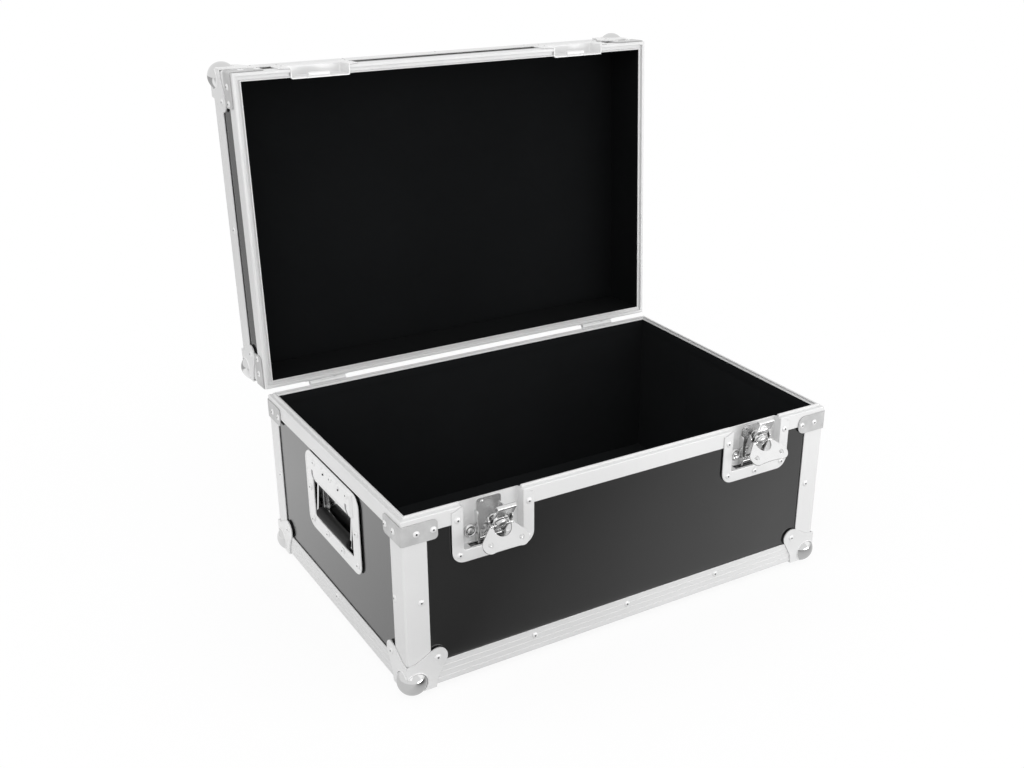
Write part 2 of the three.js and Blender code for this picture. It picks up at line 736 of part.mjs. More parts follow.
// Swings a piece drawn hanging straight down out to where the bail rests
function atBailRest(geometry) {
  return geometry
    .translate(-bailAxisDepth, 0, -bailAxisHeight)
    .rotateY(THREE.MathUtils.degToRad(bailRestAngle))
    .translate(bailAxisDepth, 0, bailAxisHeight);
}

// The bail: a rod across the pocket, two arms and the bar inside the grip
function handleBail() {
  const rodHalf = handleOpeningWidth / 2 - seatGap;
  const armOuter = bailSpan / 2 + bailArmWidth / 2;
  const gripZ = bailAxisHeight - bailDrop;
  const rod = swapXY(rodX(bailRod, -rodHalf, rodHalf, bailAxisDepth, bailAxisHeight, 12));
  const bar = swapXY(rodX(bailRod, -armOuter, armOuter, bailAxisDepth, gripZ, 12));
  const arms = [-armOuter, armOuter - bailArmWidth].map((start) => box(
    [bailAxisDepth - bailRod, bailAxisDepth + bailRod], [start, start + bailArmWidth], [gripZ, bailAxisHeight],
  ));
  return atBailRest(join(rod, bar, ...arms));
}

function handleGrip() {
  const gripZ = bailAxisHeight - bailDrop;
  const half = gripLength / 2;
  const tube = rodX(gripRadius, -half, half, bailAxisDepth, gripZ, 20);
  const bore = rodX(bailRod + seatGap, -half - overrun, half + overrun, bailAxisDepth, gripZ, 12);
  return atBailRest(swapXY(cut(tube, bore)));
}

function addHandles() {
  for (const [side, sign] of [['left', 1], ['right', -1]]) {
    const place = [-sign * halfWidth, -handleForward, 0];
    addPart(base, `handle_dish_${side}`, atCorner(handleDish(), [sign, 1, 1], place), zinc);
    addPart(base, `handle_bail_${side}`, atCorner(handleBail(), [sign, 1, 1], place), zinc);
    addPart(base, `handle_grip_${side}`, atCorner(handleGrip(), [sign, 1, 1], place), rubber);
  }
}

// Hinge leaves, drawn closed with the pin on the origin: y out of the case, z up
function hingeBaseLeaf() {
  const leafY = [-hingeSetback + seatGap, -hingeSetback + seatGap + hingeLeaf];
  const half = hingeWidth / 2;
  const middle = hingeMiddleKnuckle / 2;
  const clear = hingeKnuckleRadius + 2 * seatGap;
  const plate = box([-half, half], leafY, [-clear - hingeLeafHeight, -clear]);
  const tab = box([-middle, middle], [leafY[0], 0], [-clear - hingeLeaf, 0]);
  const knuckle = rodX(hingeKnuckleRadius, -middle, middle, 0, 0);
  const pin = rodX(hingePinRadius, -hingeKnuckleSpan / 2, hingeKnuckleSpan / 2, 0, 0, 12);
  return join(plate, tab, knuckle, pin);
}

function hingeLidLeaf() {
  const leafY = [-hingeSetback + seatGap, -hingeSetback + seatGap + hingeLeaf];
  const half = hingeWidth / 2;
  const outer = hingeKnuckleSpan / 2;
  const start = hingeMiddleKnuckle / 2 + seatGap;
  const spans = [[-outer, -start], [start, outer]];
  const clear = hingeKnuckleRadius + 2 * seatGap;
  const plate = box([-half, half], leafY, [clear, clear + hingeLeafHeight]);
  const tabs = spans.map((span) => box(span, [leafY[0], 0], [0, clear + hingeLeaf]));
  const knuckles = spans.map(([x0, x1]) => rodX(hingeKnuckleRadius, x0, x1, 0, 0));
  const eye = rodX(hingePinRadius + seatGap, -half, half, 0, 0, 12);
  return cut(join(plate, ...tabs, ...knuckles), eye);
}

function addHinges() {
  const y = halfDepth + hingeSetback;
  for (const [side, x] of [['left', -hingeOffset], ['right', hingeOffset]]) {
    addPart(base, `hinge_base_leaf_${side}`, hingeBaseLeaf().translate(x, y, baseHeight), zinc);
    addPart(lid, `hinge_lid_leaf_${side}`, hingeLidLeaf().translate(x, y, -seatGap), zinc);
  }
}

addBasePanels();
addEdgeAngles(base, 'base_bottom_angle', 1, 0);
addCornerPosts();
addRims();
addCornerBraces();
addBallCorners();
addLatches();
addHandles();
addHinges();
addLidTray();
addEdgeAngles(lid, 'lid_top_angle', -1, lidHeight);
for (const { side, x } of latches) addPart(lid, `latch_keeper_${side}`, keeper(x), zinc);

// The lid is drawn closed, its rim plane at zero, and turned back about the hinge pins
const lidTurn = new THREE.Group();
lidTurn.position.set(0, halfDepth + hingeSetback, baseHeight);
lidTurn.rotation.x = THREE.MathUtils.degToRad(-lidOpenAngle);
root.add(lidTurn);
lidTurn.add(lid);
lid.position.set(0, -halfDepth - hingeSetback, seatGap);

// The origin is the middle of the open case's outer box, on the ground
root.updateMatrixWorld(true);
const bounds = new THREE.Box3().setFromObject(root, true);
const middle = bounds.getCenter(new THREE.Vector3());
root.position.set(-middle.x, -middle.y, -bounds.min.z);
root.updateMatrixWorld(true);

export default root;
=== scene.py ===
"""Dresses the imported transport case: black laminated boards in aluminium edges, its lid standing open.

Sizes are in millimetres in the maker's drawing: x across, y front to back, z up from the edge angles.
"""
import math

import bmesh
import bpy
from mathutils import Matrix, Vector


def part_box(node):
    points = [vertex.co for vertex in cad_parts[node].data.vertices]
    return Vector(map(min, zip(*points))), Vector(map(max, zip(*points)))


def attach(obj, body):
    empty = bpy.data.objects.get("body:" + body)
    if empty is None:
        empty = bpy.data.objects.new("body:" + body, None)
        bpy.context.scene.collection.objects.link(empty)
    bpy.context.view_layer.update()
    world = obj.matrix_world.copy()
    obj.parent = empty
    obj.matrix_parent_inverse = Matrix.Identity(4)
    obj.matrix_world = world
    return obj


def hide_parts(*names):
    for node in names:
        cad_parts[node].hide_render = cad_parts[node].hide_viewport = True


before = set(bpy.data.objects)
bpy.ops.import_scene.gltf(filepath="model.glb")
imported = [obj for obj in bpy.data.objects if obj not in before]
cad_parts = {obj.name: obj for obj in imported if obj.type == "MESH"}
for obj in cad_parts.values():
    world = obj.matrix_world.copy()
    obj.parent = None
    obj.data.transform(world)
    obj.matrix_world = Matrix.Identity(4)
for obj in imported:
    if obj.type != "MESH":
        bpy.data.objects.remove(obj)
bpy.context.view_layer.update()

# Case
MILLIMETRE = 0.001
CASE_WIDTH = 600
CASE_DEPTH = 400
BASE_HEIGHT = 220
LID_HEIGHT = 80
LID_OPEN = 92.9
PIN_SETBACK = 4.5
SEAT = 0.3
HALF_W = CASE_WIDTH / 2
HALF_D = CASE_DEPTH / 2
PIN_Y = HALF_D + PIN_SETBACK
BOARD_INNER = 8.8
RIM_DEPTH = 10.3
RIM_WEB = 20
RIM_INNER_WEB = 12
CORNER_CUT = 31

# Latches: distance from the middle, the carrier's tilt and the wing's lift at rest
LATCHES = {"left": (-188, 35, 65), "right": (188, 20, 69)}
LATCH_OPENING = 37.5
LATCH_FLANGE = 52
LATCH_DEPTH = 11
LATCH_BACK = LATCH_DEPTH - HALF_D
LATCH_FLOOR = 165.5
LATCH_FOOT = 150
DISH_WALL = 1.2
PIVOT_DROP = 50
PIVOT_OUT = 3
HUB_HEIGHT = 36
HUB_BACK = -1.3
WING_PIN = -7.0

# Handles
HANDLE_FORWARD = 6.5
HANDLE_HALF = 80
HANDLE_FOOT = 91.5
HANDLE_TOP = 198
HANDLE_ROUND = 16
POCKET_HALF = 59
POCKET_FOOT = 111
POCKET_TOP = 181
WINDOW_TOP = 163
POCKET_DEPTH = 10.5
COWL_HALF = 64
COWL_OUT = 3
COWL_CREASE = 171
COWL_TOP = 196.5
BAIL_Z = 173
BAIL_X = 6
BAIL_REST = 4.4
GRIP_Z = 120.5
GRIP_HALF = 47
ARM_Y = 51


def millimetres_to_row():
    """The drawing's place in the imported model, from the base's rim and bottom angle."""
    rim_low, rim_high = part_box("base_rim_frame")
    foot_low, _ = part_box("base_bottom_angle_front")
    origin = Vector((0, (rim_low.y + rim_high.y) / 2, foot_low.z))
    return Matrix.Translation(origin) @ Matrix.Scale(MILLIMETRE, 4)


def turn_x(degrees):
    return Matrix.Rotation(math.radians(degrees), 4, "X")


def shift(x=0, y=0, z=0):
    return Matrix.Translation((x, y, z))


BASE = millimetres_to_row()
LID = BASE @ shift(0, PIN_Y, BASE_HEIGHT) @ turn_x(-LID_OPEN) @ shift(0, -PIN_Y, SEAT)
SWAP = Matrix(((0, 1, 0, 0), (1, 0, 0, 0), (0, 0, 1, 0), (0, 0, 0, 1)))
ACROSS = Matrix.Rotation(math.pi / 2, 4, "Y")


def carrier_place(side):
    x, tilt, _ = LATCHES[side]
    return BASE @ shift(x, LATCH_BACK - PIVOT_OUT, BASE_HEIGHT - PIVOT_DROP) @ turn_x(tilt)


def wing_place(side):
    lift = LATCHES[side][2]
    pin = shift(0, WING_PIN, HUB_HEIGHT)
    return carrier_place(side) @ pin @ turn_x(-lift) @ pin.inverted()


def corner_place(sx, sy, sz, z, home):
    """A corner's own axes all point into the case."""
    return home @ shift(sx * HALF_W, sy * HALF_D, z) @ Matrix.Diagonal((-sx, -sy, sz, 1))


# Shapes: each is a list of points and a list of faces
MERGE_DISTANCE = 1e-4
FILLET_SHARE = 0.49


def arc(x, y, radius, start, sweep, steps):
    """Points round a centre, from a start in degrees through a sweep."""
    turns = [math.radians(start + sweep * k / steps) for k in range(steps + 1)]
    return [(x + radius * math.cos(turn), y + radius * math.sin(turn)) for turn in turns]


def fillet(points, radii, steps=5):
    """Rounds a closed outline's corners; a radius of 0 leaves a corner sharp."""
    if not isinstance(radii, (list, tuple)):
        radii = [radii] * len(points)
    out = []
    for i, corner in enumerate(points):
        here = Vector(corner)
        before = Vector(points[i - 1]) - here
        after = Vector(points[(i + 1) % len(points)]) - here
        radius = radii[i]
        if radius <= 0:
            out.append(tuple(here))
            continue
        angle = before.angle(after)
        reach = min(radius / math.tan(angle / 2), FILLET_SHARE * before.length, FILLET_SHARE * after.length)
        radius = reach * math.tan(angle / 2)
        middle = (before.normalized() + after.normalized()).normalized()
        centre = here + middle * (radius / math.sin(angle / 2))
        start = here + before.normalized() * reach - centre
        end = here + after.normalized() * reach - centre
        sweep = start.angle_signed(end)
        for k in range(steps + 1):
            turn = -sweep * k / steps
            cos, sin = math.cos(turn), math.sin(turn)
            out.append((centre.x + start.x * cos - start.y * sin, centre.y + start.x * sin + start.y * cos))
    return out


def box_outline(x0, x1, y0, y1):
    return [(x0, y0), (x1, y0), (x1, y1), (x0, y1)]


def prism(outline, lo, hi, axis):
    """An outline run along an axis. It is drawn in (y, z) for x, (x, z) for y and (x, y) for z."""
    def point(a, b, t):
        return {"x": (t, a, b), "y": (a, t, b), "z": (a, b, t)}[axis]

    count = len(outline)
    verts = [point(a, b, lo) for a, b in outline] + [point(a, b, hi) for a, b in outline]
    faces = [(i, (i + 1) % count, count + (i + 1) % count, count + i) for i in range(count)]
    faces += [tuple(range(count))[::-1], tuple(range(count, 2 * count))]
    return verts, faces


def block(x, y, z):
    return prism(box_outline(*x, *y), *z, "z")


def loft(loops, closed=True, cap_first=False, cap_last=False):
    """Skins between loops of the same number of points."""
    count = len(loops[0])
    verts = [p for loop in loops for p in loop]
    faces = []
    for k in range(len(loops) - 1):
        for i in range(count if closed else count - 1):
            j = (i + 1) % count
            faces.append((k * count + i, k * count + j, (k + 1) * count + j, (k + 1) * count + i))
    if cap_first:
        faces.append(tuple(range(count))[::-1])
    if cap_last:
        faces.append(tuple(range((len(loops) - 1) * count, len(loops) * count)))
    return verts, faces


def lathe(profile, steps, place):
    """Turns (radius, height) points round z; a radius of 0 closes to a pole."""
    verts, rings = [], []
    for radius, height in profile:
        ring = []
        for k in range(1 if radius == 0 else steps):
            angle = 2 * math.pi * k / steps
            ring.append(len(verts))
            verts.append(place @ Vector((radius * math.cos(angle), radius * math.sin(angle), height)))
        rings.append(ring)
    faces = []
    for low, high in zip(rings, rings[1:]):
        for k in range(steps):
            n = (k + 1) % steps
            if len(low) == 1 and len(high) > 1:
                faces.append((low[0], high[n], high[k]))
            elif len(high) == 1 and len(low) > 1:
                faces.append((low[k], low[n], high[0]))
            elif len(low) > 1:
                faces.append((low[k], low[n], high[n], high[k]))
    return [tuple(v) for v in verts], faces


def rod(radius, lo, hi, steps, place):
    return lathe([(0, lo), (radius, lo), (radius, hi), (0, hi)], steps, place)


def sleeve(bore, radius, lo, hi, steps, place):
    return lathe([(bore, lo), (radius, lo), (radius, hi), (bore, hi), (bore, lo)], steps, place)


def tube(path, radius, steps):
    """A round bar along a path, closed at both ends."""
    points = [Vector(p) for p in path]
    loops = []
    side = None
    for i, here in enumerate(points):
        ahead = (points[min(i + 1, len(points) - 1)] - points[max(i - 1, 0)]).normalized()
        if side is None:
            side = ahead.orthogonal().normalized()
        side = (side - ahead * side.dot(ahead)).normalized()
        other = ahead.cross(side)
        loop = []
        for k in range(steps):
            turn = 2 * math.pi * k / steps
            loop.append(tuple(here + side * radius * math.cos(turn) + other * radius * math.sin(turn)))
        loops.append(loop)
    return loft(loops, True, True, True)


def merged(*shapes):
    verts, faces = [], []
    for v, f in shapes:
        start = len(verts)
        verts += list(v)
        faces += [tuple(i + start for i in face) for face in f]
    return verts, faces


def placed(shape, place):
    verts, faces = shape
    return [tuple(place @ Vector(v)) for v in verts], faces


# Finished pieces
def mesh_from(shape, name):
    mesh = bpy.data.meshes.new(name)
    mesh.from_pydata([tuple(v) for v in shape[0]], [], shape[1])
    return mesh


def new_object(name, data):
    obj = bpy.data.objects.new(name, data)
    bpy.context.scene.collection.objects.link(obj)
    return obj


def tidy_normals(mesh):
    form = bmesh.new()
    form.from_mesh(mesh)
    bmesh.ops.remove_doubles(form, verts=form.verts, dist=MERGE_DISTANCE)
    bmesh.ops.recalc_face_normals(form, faces=form.faces)
    form.to_mesh(mesh)
    form.free()


def evaluated(obj):
    """The object's mesh with its modifiers in it."""
    graph = bpy.context.evaluated_depsgraph_get()
    return bpy.data.meshes.new_from_object(obj.evaluated_get(graph))


def combined(first, others, operation, crossing=False):
    """Joins or cuts closed shapes, each in the drawing's millimetres; crossing is for a folded sheet."""
    def helper(shape, name):
        mesh = shape if isinstance(shape, bpy.types.Mesh) else mesh_from(shape, name)
        tidy_normals(mesh)
        return new_object(name, mesh)

    body = helper(first, "blank")
    for other in others:
        tool = helper(other, "cutter")
        step = body.modifiers.new("step", "BOOLEAN")
        step.operation = operation
        step.solver = "EXACT"
        step.use_self = crossing
        step.object = tool
        bpy.context.view_layer.update()
        mesh = evaluated(body)
        body.modifiers.clear()
        body.data = mesh
        bpy.data.objects.remove(tool)
    mesh = body.data
    bpy.data.objects.remove(body)
    return mesh


def piece(name, shape, place, body, finish, slot, bevel=0.0, steps=2, sharp=35, stands_for=()):
    """Makes a finished piece that rides on a body of the case."""
    mesh = shape.copy() if isinstance(shape, bpy.types.Mesh) else mesh_from(shape, name)
    mesh.name = name
    tidy_normals(mesh)
    mesh.transform(place)
    if place.determinant() < 0:
        mesh.flip_normals()
    obj = new_object(name, mesh)
    if bevel:
        edge = obj.modifiers.new("softened_edges", "BEVEL")
        edge.width = bevel * MILLIMETRE
        edge.segments = steps
        edge.limit_method = "ANGLE"
        edge.angle_limit = math.radians(sharp)
    mesh.shade_smooth()
    mesh.set_sharp_from_angle(angle=math.radians(sharp))
    even = obj.modifiers.new("even_faces", "WEIGHTED_NORMAL")
    even.keep_sharp = True
    bpy.context.view_layer.update()
    mesh = evaluated(obj)
    obj.modifiers.clear()
    obj.data = mesh
    mesh.name = name
    mesh.materials.clear()
    mesh.materials.append(finish)
    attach(obj, body)
    if stands_for:
        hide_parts(*stands_for)
    return obj


# Shader node groups
PLACE_IN = ("Vector", "Vector", (0, 0, 0))
ROUGH_IN = [("Low", "Float", 0.3), ("High", "Float", 0.4)]
SKIN_OUT = [("Roughness", "Float"), ("Height", "Float")]
BLACK, WHITE = (0, 0, 0, 1), (1, 1, 1, 1)
SCUFF_SCALE = 70.0
SCUFF_MASK = (0.58, 0.7)


def new_group(name, inputs, outputs):
    tree = bpy.data.node_groups.new(name, "ShaderNodeTree")
    for label, kind, value in inputs:
        socket = tree.interface.new_socket(label, in_out="INPUT", socket_type="NodeSocket" + kind)
        socket.default_value = value
    for label, kind in outputs:
        tree.interface.new_socket(label, in_out="OUTPUT", socket_type="NodeSocket" + kind)
    return tree, tree.nodes.new("NodeGroupInput"), tree.nodes.new("NodeGroupOutput")


def new_node(tree, kind, **settings):
    node = tree.nodes.new("ShaderNode" + kind)
    for key, value in settings.items():
        if key in node.inputs:
            node.inputs[key].default_value = value
        else:
            setattr(node, key, value)
    return node


def link(tree, *wires):
    """Joins sockets; each wire is (from node, its output, to node, its input)."""
    for source, output, target, socket in wires:
        tree.links.new(source.outputs[output], target.inputs[socket])


def spread(tree, source, low, high, start=0.3, end=0.7):
    """Maps a texture's middle values on to a range."""
    node = new_node(tree, "MapRange", clamp=True)
    node.inputs["From Min"].default_value = start
    node.inputs["From Max"].default_value = end
    for name, value in (("To Min", low), ("To Max", high)):
        if isinstance(value, (int, float)):
            node.inputs[name].default_value = value
        else:
            tree.links.new(value, node.inputs[name])
    tree.links.new(source, node.inputs["Value"])
    return node.outputs["Result"]


def send_skin(tree, start, texture, end):
    """A texture goes out as a roughness between Low and High, and as a height."""
    rough = spread(tree, texture.outputs["Fac"], start.outputs["Low"], start.outputs["High"])
    tree.links.new(rough, end.inputs["Roughness"])
    link(tree, (texture, "Fac", end, "Height"))


def grain_group():
    """Fine lines drawn out along one direction, as rolled or brushed sheet has."""
    tree, start, end = new_group(
        "rolled_grain", [PLACE_IN, ("Stretch", "Vector", (1, 1, 1)), *ROUGH_IN], SKIN_OUT
    )
    turn = new_node(tree, "Mapping")
    lines = new_node(tree, "TexNoise", Scale=1.0, Detail=4.0, Roughness=0.6)
    link(tree, (start, "Vector", turn, "Vector"), (start, "Stretch", turn, "Scale"))
    link(tree, (turn, "Vector", lines, "Vector"))
    send_skin(tree, start, lines, end)
    return tree


def tone_group():
    """A slow drift between two tones, so that no large face is quite even."""
    tree, start, end = new_group(
        "tone_drift",
        [PLACE_IN, ("Scale", "Float", 4.0), ("Dark", "Color", BLACK), ("Light", "Color", WHITE)],
        [("Color", "Color")],
    )
    cloud = new_node(tree, "TexNoise", Detail=3.0, Roughness=0.55)
    mix = new_node(tree, "Mix", data_type="RGBA")
    link(tree, (start, "Vector", cloud, "Vector"), (start, "Scale", cloud, "Scale"))
    tree.links.new(spread(tree, cloud.outputs["Fac"], 0.0, 1.0), mix.inputs["Factor"])
    link(tree, (start, "Dark", mix, 6), (start, "Light", mix, 7), (mix, 2, end, "Color"))
    return tree


def pebble_group():
    """Small rounded bumps, as pressed laminate, felt and moulded rubber have."""
    tree, start, end = new_group("pebbled_skin", [PLACE_IN, ("Scale", "Float", 900.0), *ROUGH_IN], SKIN_OUT)
    bumps = new_node(tree, "TexNoise", Detail=2.0, Roughness=0.5)
    link(tree, (start, "Vector", bumps, "Vector"), (start, "Scale", bumps, "Scale"))
    send_skin(tree, start, bumps, end)
    return tree


def scuff_group():
    """Sparse short handling marks that raise the roughness."""
    tree, start, end = new_group(
        "handling_marks",
        [PLACE_IN, ("Scale", "Float", 60.0), ("Roughness", "Float", 0.3), ("Amount", "Float", 0.15)],
        [("Roughness", "Float")],
    )
    marks = new_node(tree, "TexNoise", Detail=6.0, Roughness=0.7, Distortion=0.6)
    link(tree, (start, "Vector", marks, "Vector"), (start, "Scale", marks, "Scale"))
    mask = spread(tree, marks.outputs["Fac"], 0.0, start.outputs["Amount"], *SCUFF_MASK)
    total = new_node(tree, "Math", operation="ADD")
    link(tree, (start, "Roughness", total, 0), (total, 0, end, "Roughness"))
    tree.links.new(mask, total.inputs[1])
    return tree


GRAIN, TONE, PEBBLE, SCUFF = grain_group(), tone_group(), pebble_group(), scuff_group()


def use_group(tree, group, links, **values):
    node = tree.nodes.new("ShaderNodeGroup")
    node.node_tree = group
    for name, value in values.items():
        node.inputs[name].default_value = value
    for name, source in links.items():
        tree.links.new(source, node.inputs[name])
    return node


def finish(name, dark, light, skin, relief, tone_scale=5.0, marks=0.12, **shader):
    """Two close tones, a skin's roughness and relief, and handling marks. relief is (strength, metres)."""
    material = bpy.data.materials.new(name)
    material.use_nodes = True
    tree = material.node_tree
    tree.nodes.clear()
    end = new_node(tree, "OutputMaterial")
    surface = new_node(tree, "BsdfPrincipled", **{k.replace("_", " "): v for k, v in shader.items()})
    place = new_node(tree, "TexCoord").outputs["Object"]
    tone = use_group(tree, TONE, {"Vector": place}, Scale=tone_scale, Dark=(*dark, 1), Light=(*light, 1))
    group, values = skin
    cover = use_group(tree, group, {"Vector": place}, **values)
    rough = cover.outputs["Roughness"]
    worn = use_group(tree, SCUFF, {"Vector": place, "Roughness": rough}, Scale=SCUFF_SCALE, Amount=marks)
    bump = new_node(tree, "Bump", Strength=relief[0], Distance=relief[1])
    link(
        tree, (cover, "Height", bump, "Height"), (tone, "Color", surface, "Base Color"),
        (worn, "Roughness", surface, "Roughness"), (bump, "Normal", surface, "Normal"),
        (surface, 0, end, "Surface"),
    )
    return material


def grey(value, tint=0.0):
    return (value - tint, value, value + tint)


def rolled(stretch, low, high):
    return GRAIN, {"Stretch": stretch, "Low": low, "High": high}


def pebbled(scale, low, high):
    return PEBBLE, {"Scale": scale, "Low": low, "High": high}


def metal(name, tones, rough, relief, tone_scale=30.0, marks=0.05, metallic=1.0):
    """Plated sheet with no grain to its skin."""
    dark, light = tones
    return finish(
        name, grey(dark), grey(light), rolled(EVEN, *rough), relief, tone_scale, marks, Metallic=metallic
    )


# Grain is drawn out where its scale is low
EVEN = (300, 300, 300)
GRAIN_RUNS = {"x": (40, 1500, 1500), "y": (1500, 40, 1500), "z": (1500, 1500, 40)}
LAMINATE = finish(
    "black_laminate", grey(0.007), grey(0.010), rolled(EVEN, 0.13, 0.15), (0.004, 0.0002), marks=0.03, IOR=2.1
)
ALU = {}
for axis, run in GRAIN_RUNS.items():
    skin = rolled(run, 0.54, 0.62)
    ALU[axis] = finish(f"rolled_aluminium_{axis}", grey(0.74), grey(0.78), skin, (0.05, 0.0003), Metallic=0.5)
DULL = metal("galvanised_sheet", (0.50, 0.60), (0.50, 0.58), (0.08, 0.0004), 60.0, 0.12, 0.5)
ZINC = metal("bright_zinc", (0.79, 0.83), (0.42, 0.50), (0.03, 0.0003), marks=0.12, metallic=0.5)
SATIN = metal("satin_zinc", (0.69, 0.73), (0.20, 0.26), (0.02, 0.0003))
POLISHED = metal("polished_zinc", (0.52, 0.62), (0.09, 0.14), (0.02, 0.0003))
CHROME = metal("polished_chrome", (0.64, 0.68), (0.04, 0.08), (0.01, 0.0002), marks=0.04)
FELT_SKIN = (pebbled(2600, 0.9, 1.0), (0.5, 0.0006))
# One felt in lit and shaded copies: the lid's is painted darker than the base's, as painted shade
BASE_FELT = finish("base_felt", grey(0.0108, 0.0008), grey(0.0142, 0.0010), *FELT_SKIN, IOR=1.2)
SHADED_LID_FELT = finish("lid_felt_painted_shade", grey(0.0042, 0.0004), grey(0.006, 0.0005), *FELT_SKIN, IOR=1.2)
RUBBER = finish(
    "moulded_grip", grey(0.006), grey(0.009), pebbled(1800, 0.5, 0.6), (0.25, 0.0004), Specular_IOR_Level=0.2
)
# Painted shade: this dark finish, on discs and rods standing just proud of a surface, stands for the shade
# inside rivets' bores and the cowl's holes
BORE_SHADE = finish("rivet_bore_shade", grey(0.02), grey(0.03), pebbled(900, 0.6, 0.8), (0.1, 0.0003))


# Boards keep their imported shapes
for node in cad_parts.values():
    if "panel" in node.name or "tray" in node.name:
        node.data.materials.clear()
        node.data.materials.append(LAMINATE)


# Edge angles
ANGLE_LEG = 30
ANGLE_THICK = 1.5
ANGLE_ROUND = 1.8
POST_ROUND = 3.0
SHEET_ROUND = 0.5
GROOVE_PLACES = (8.0, 15.5, 23.0)
GROOVE_HALF = 0.7
GROOVE_DEPTH = 0.4
CORNERS = {"front_left": (-1, -1), "front_right": (1, -1), "back_left": (-1, 1), "back_right": (1, 1)}


def angle_outline(corner_round, grooves=(), steps=4):
    """An L of sheet with a soft outer corner, and shallow grooves along its outer faces."""
    leg = []
    for place in grooves:
        leg += [(place - GROOVE_HALF, 0), (place - GROOVE_HALF / 2, GROOVE_DEPTH)]
        leg += [(place + GROOVE_HALF / 2, GROOVE_DEPTH), (place + GROOVE_HALF, 0)]
    ends = [(ANGLE_LEG, 0), (ANGLE_LEG, ANGLE_THICK), (ANGLE_THICK, ANGLE_THICK)]
    ends += [(ANGLE_THICK, ANGLE_LEG), (0, ANGLE_LEG)]
    sharp = [0] * len(leg)
    radii = [corner_round] + sharp + [SHEET_ROUND, SHEET_ROUND, 0, SHEET_ROUND, SHEET_ROUND] + sharp
    return fillet([(0, 0)] + leg + ends + [(b, a) for a, b in reversed(leg)], radii, steps)


def add_edge_angles():
    outline = angle_outline(ANGLE_ROUND, GROOVE_PLACES)
    long = prism(outline, CORNER_CUT - HALF_W, HALF_W - CORNER_CUT, "x")
    short = placed(prism(outline, CORNER_CUT - HALF_D, HALF_D - CORNER_CUT, "x"), SWAP)
    sides = (
        ("front", long, "x", (0, -HALF_D), (1, 1)),
        ("back", long, "x", (0, HALF_D), (1, -1)),
        ("left", short, "y", (-HALF_W, 0), (1, 1)),
        ("right", short, "y", (HALF_W, 0), (-1, 1)),
    )
    for word, home, body, up, z in (
        ("base_bottom", BASE, "base", 1, 0), ("lid_top", LID, "lid", -1, LID_HEIGHT),
    ):
        for side, shape, axis, (x, y), (across, along) in sides:
            place = shift(x, y, z) @ Matrix.Diagonal((across, along, up, 1))
            piece(
                f"{word}_edge_{side}", shape, home @ place, body, ALU[axis], "aluminium",
                stands_for=[f"{word}_angle_{side}"],
            )


def add_corner_posts():
    outline = angle_outline(POST_ROUND, steps=6)
    post = prism(outline, CORNER_CUT, BASE_HEIGHT - RIM_WEB - SEAT, "z")
    short = prism(outline, RIM_WEB + SEAT, LID_HEIGHT - CORNER_CUT - SEAT, "z")
    for corner, (sx, sy) in CORNERS.items():
        piece(
            f"base_post_{corner}", post, corner_place(sx, sy, 1, 0, BASE), "base", ALU["z"], "aluminium",
            stands_for=[f"base_corner_post_{corner}"],
        )
        piece(f"lid_post_{corner}", short, corner_place(sx, sy, 1, 0, LID), "lid", ALU["z"], "aluminium")


# Rims: the base's has a tongue that the lid's takes. Profiles are (distance in from the edge, height)
RIM_THICK = 1.5
RIM_INNER_THICK = 1.2
TONGUE = (5, 8)
TONGUE_HEIGHT = 3
TONGUE_PLAY = 0.8
TONGUE_HEADROOM = 0.6
BASE_RIM_ROUNDS = (0.4, 0.4, 0, 0, 0.3, 0.5, 0.8, 0.3, 0.9, 0.9, 0.3, 1.4)
LID_RIM_ROUNDS = (1.3, 0.8, 0, 0, 0.7, 0.7, 0.5, 0.3, 0, 0, 0.4, 0.4)
RIM_BEVEL = 0.25


def base_rim_profile():
    inner = RIM_DEPTH - RIM_INNER_THICK
    first, last = TONGUE
    points = [(0, -RIM_WEB), (RIM_THICK, -RIM_WEB), (RIM_THICK, -RIM_THICK), (inner, -RIM_THICK)]
    points += [(inner, -RIM_INNER_WEB), (RIM_DEPTH, -RIM_INNER_WEB), (RIM_DEPTH, 0), (last, 0)]
    points += [(last, TONGUE_HEIGHT), (first, TONGUE_HEIGHT), (first, 0), (0, 0)]
    return fillet(points, BASE_RIM_ROUNDS, 4)


def lid_rim_profile():
    inner = RIM_DEPTH - RIM_INNER_THICK
    first, last = TONGUE[0] - TONGUE_PLAY, TONGUE[1] + TONGUE_PLAY
    roof = TONGUE_HEIGHT + TONGUE_HEADROOM
    web = roof + RIM_THICK
    points = [(0, 0), (first, 0), (first, roof), (last, roof), (last, 0), (RIM_DEPTH, 0)]
    points += [(RIM_DEPTH, RIM_INNER_WEB), (inner, RIM_INNER_WEB), (inner, web), (RIM_THICK, web)]
    points += [(RIM_THICK, RIM_WEB), (0, RIM_WEB)]
    return fillet(points, LID_RIM_ROUNDS, 4)


def rim_stations(start, *between, end):
    """Places along a rim's run, each giving (x, y) for a distance in from the edge."""
    def front(x):
        return lambda inset: (x, -HALF_D + inset)

    def corner(sx, sy):
        return lambda inset: (sx * (HALF_W - inset), sy * (HALF_D - inset))

    return [front(start)] + [corner(*c) for c in between] + [front(end)]


def rim_run(profile, stations):
    loops = [[(*at(inset), height) for inset, height in profile] for at in stations]
    return loft(loops, True, True, True)


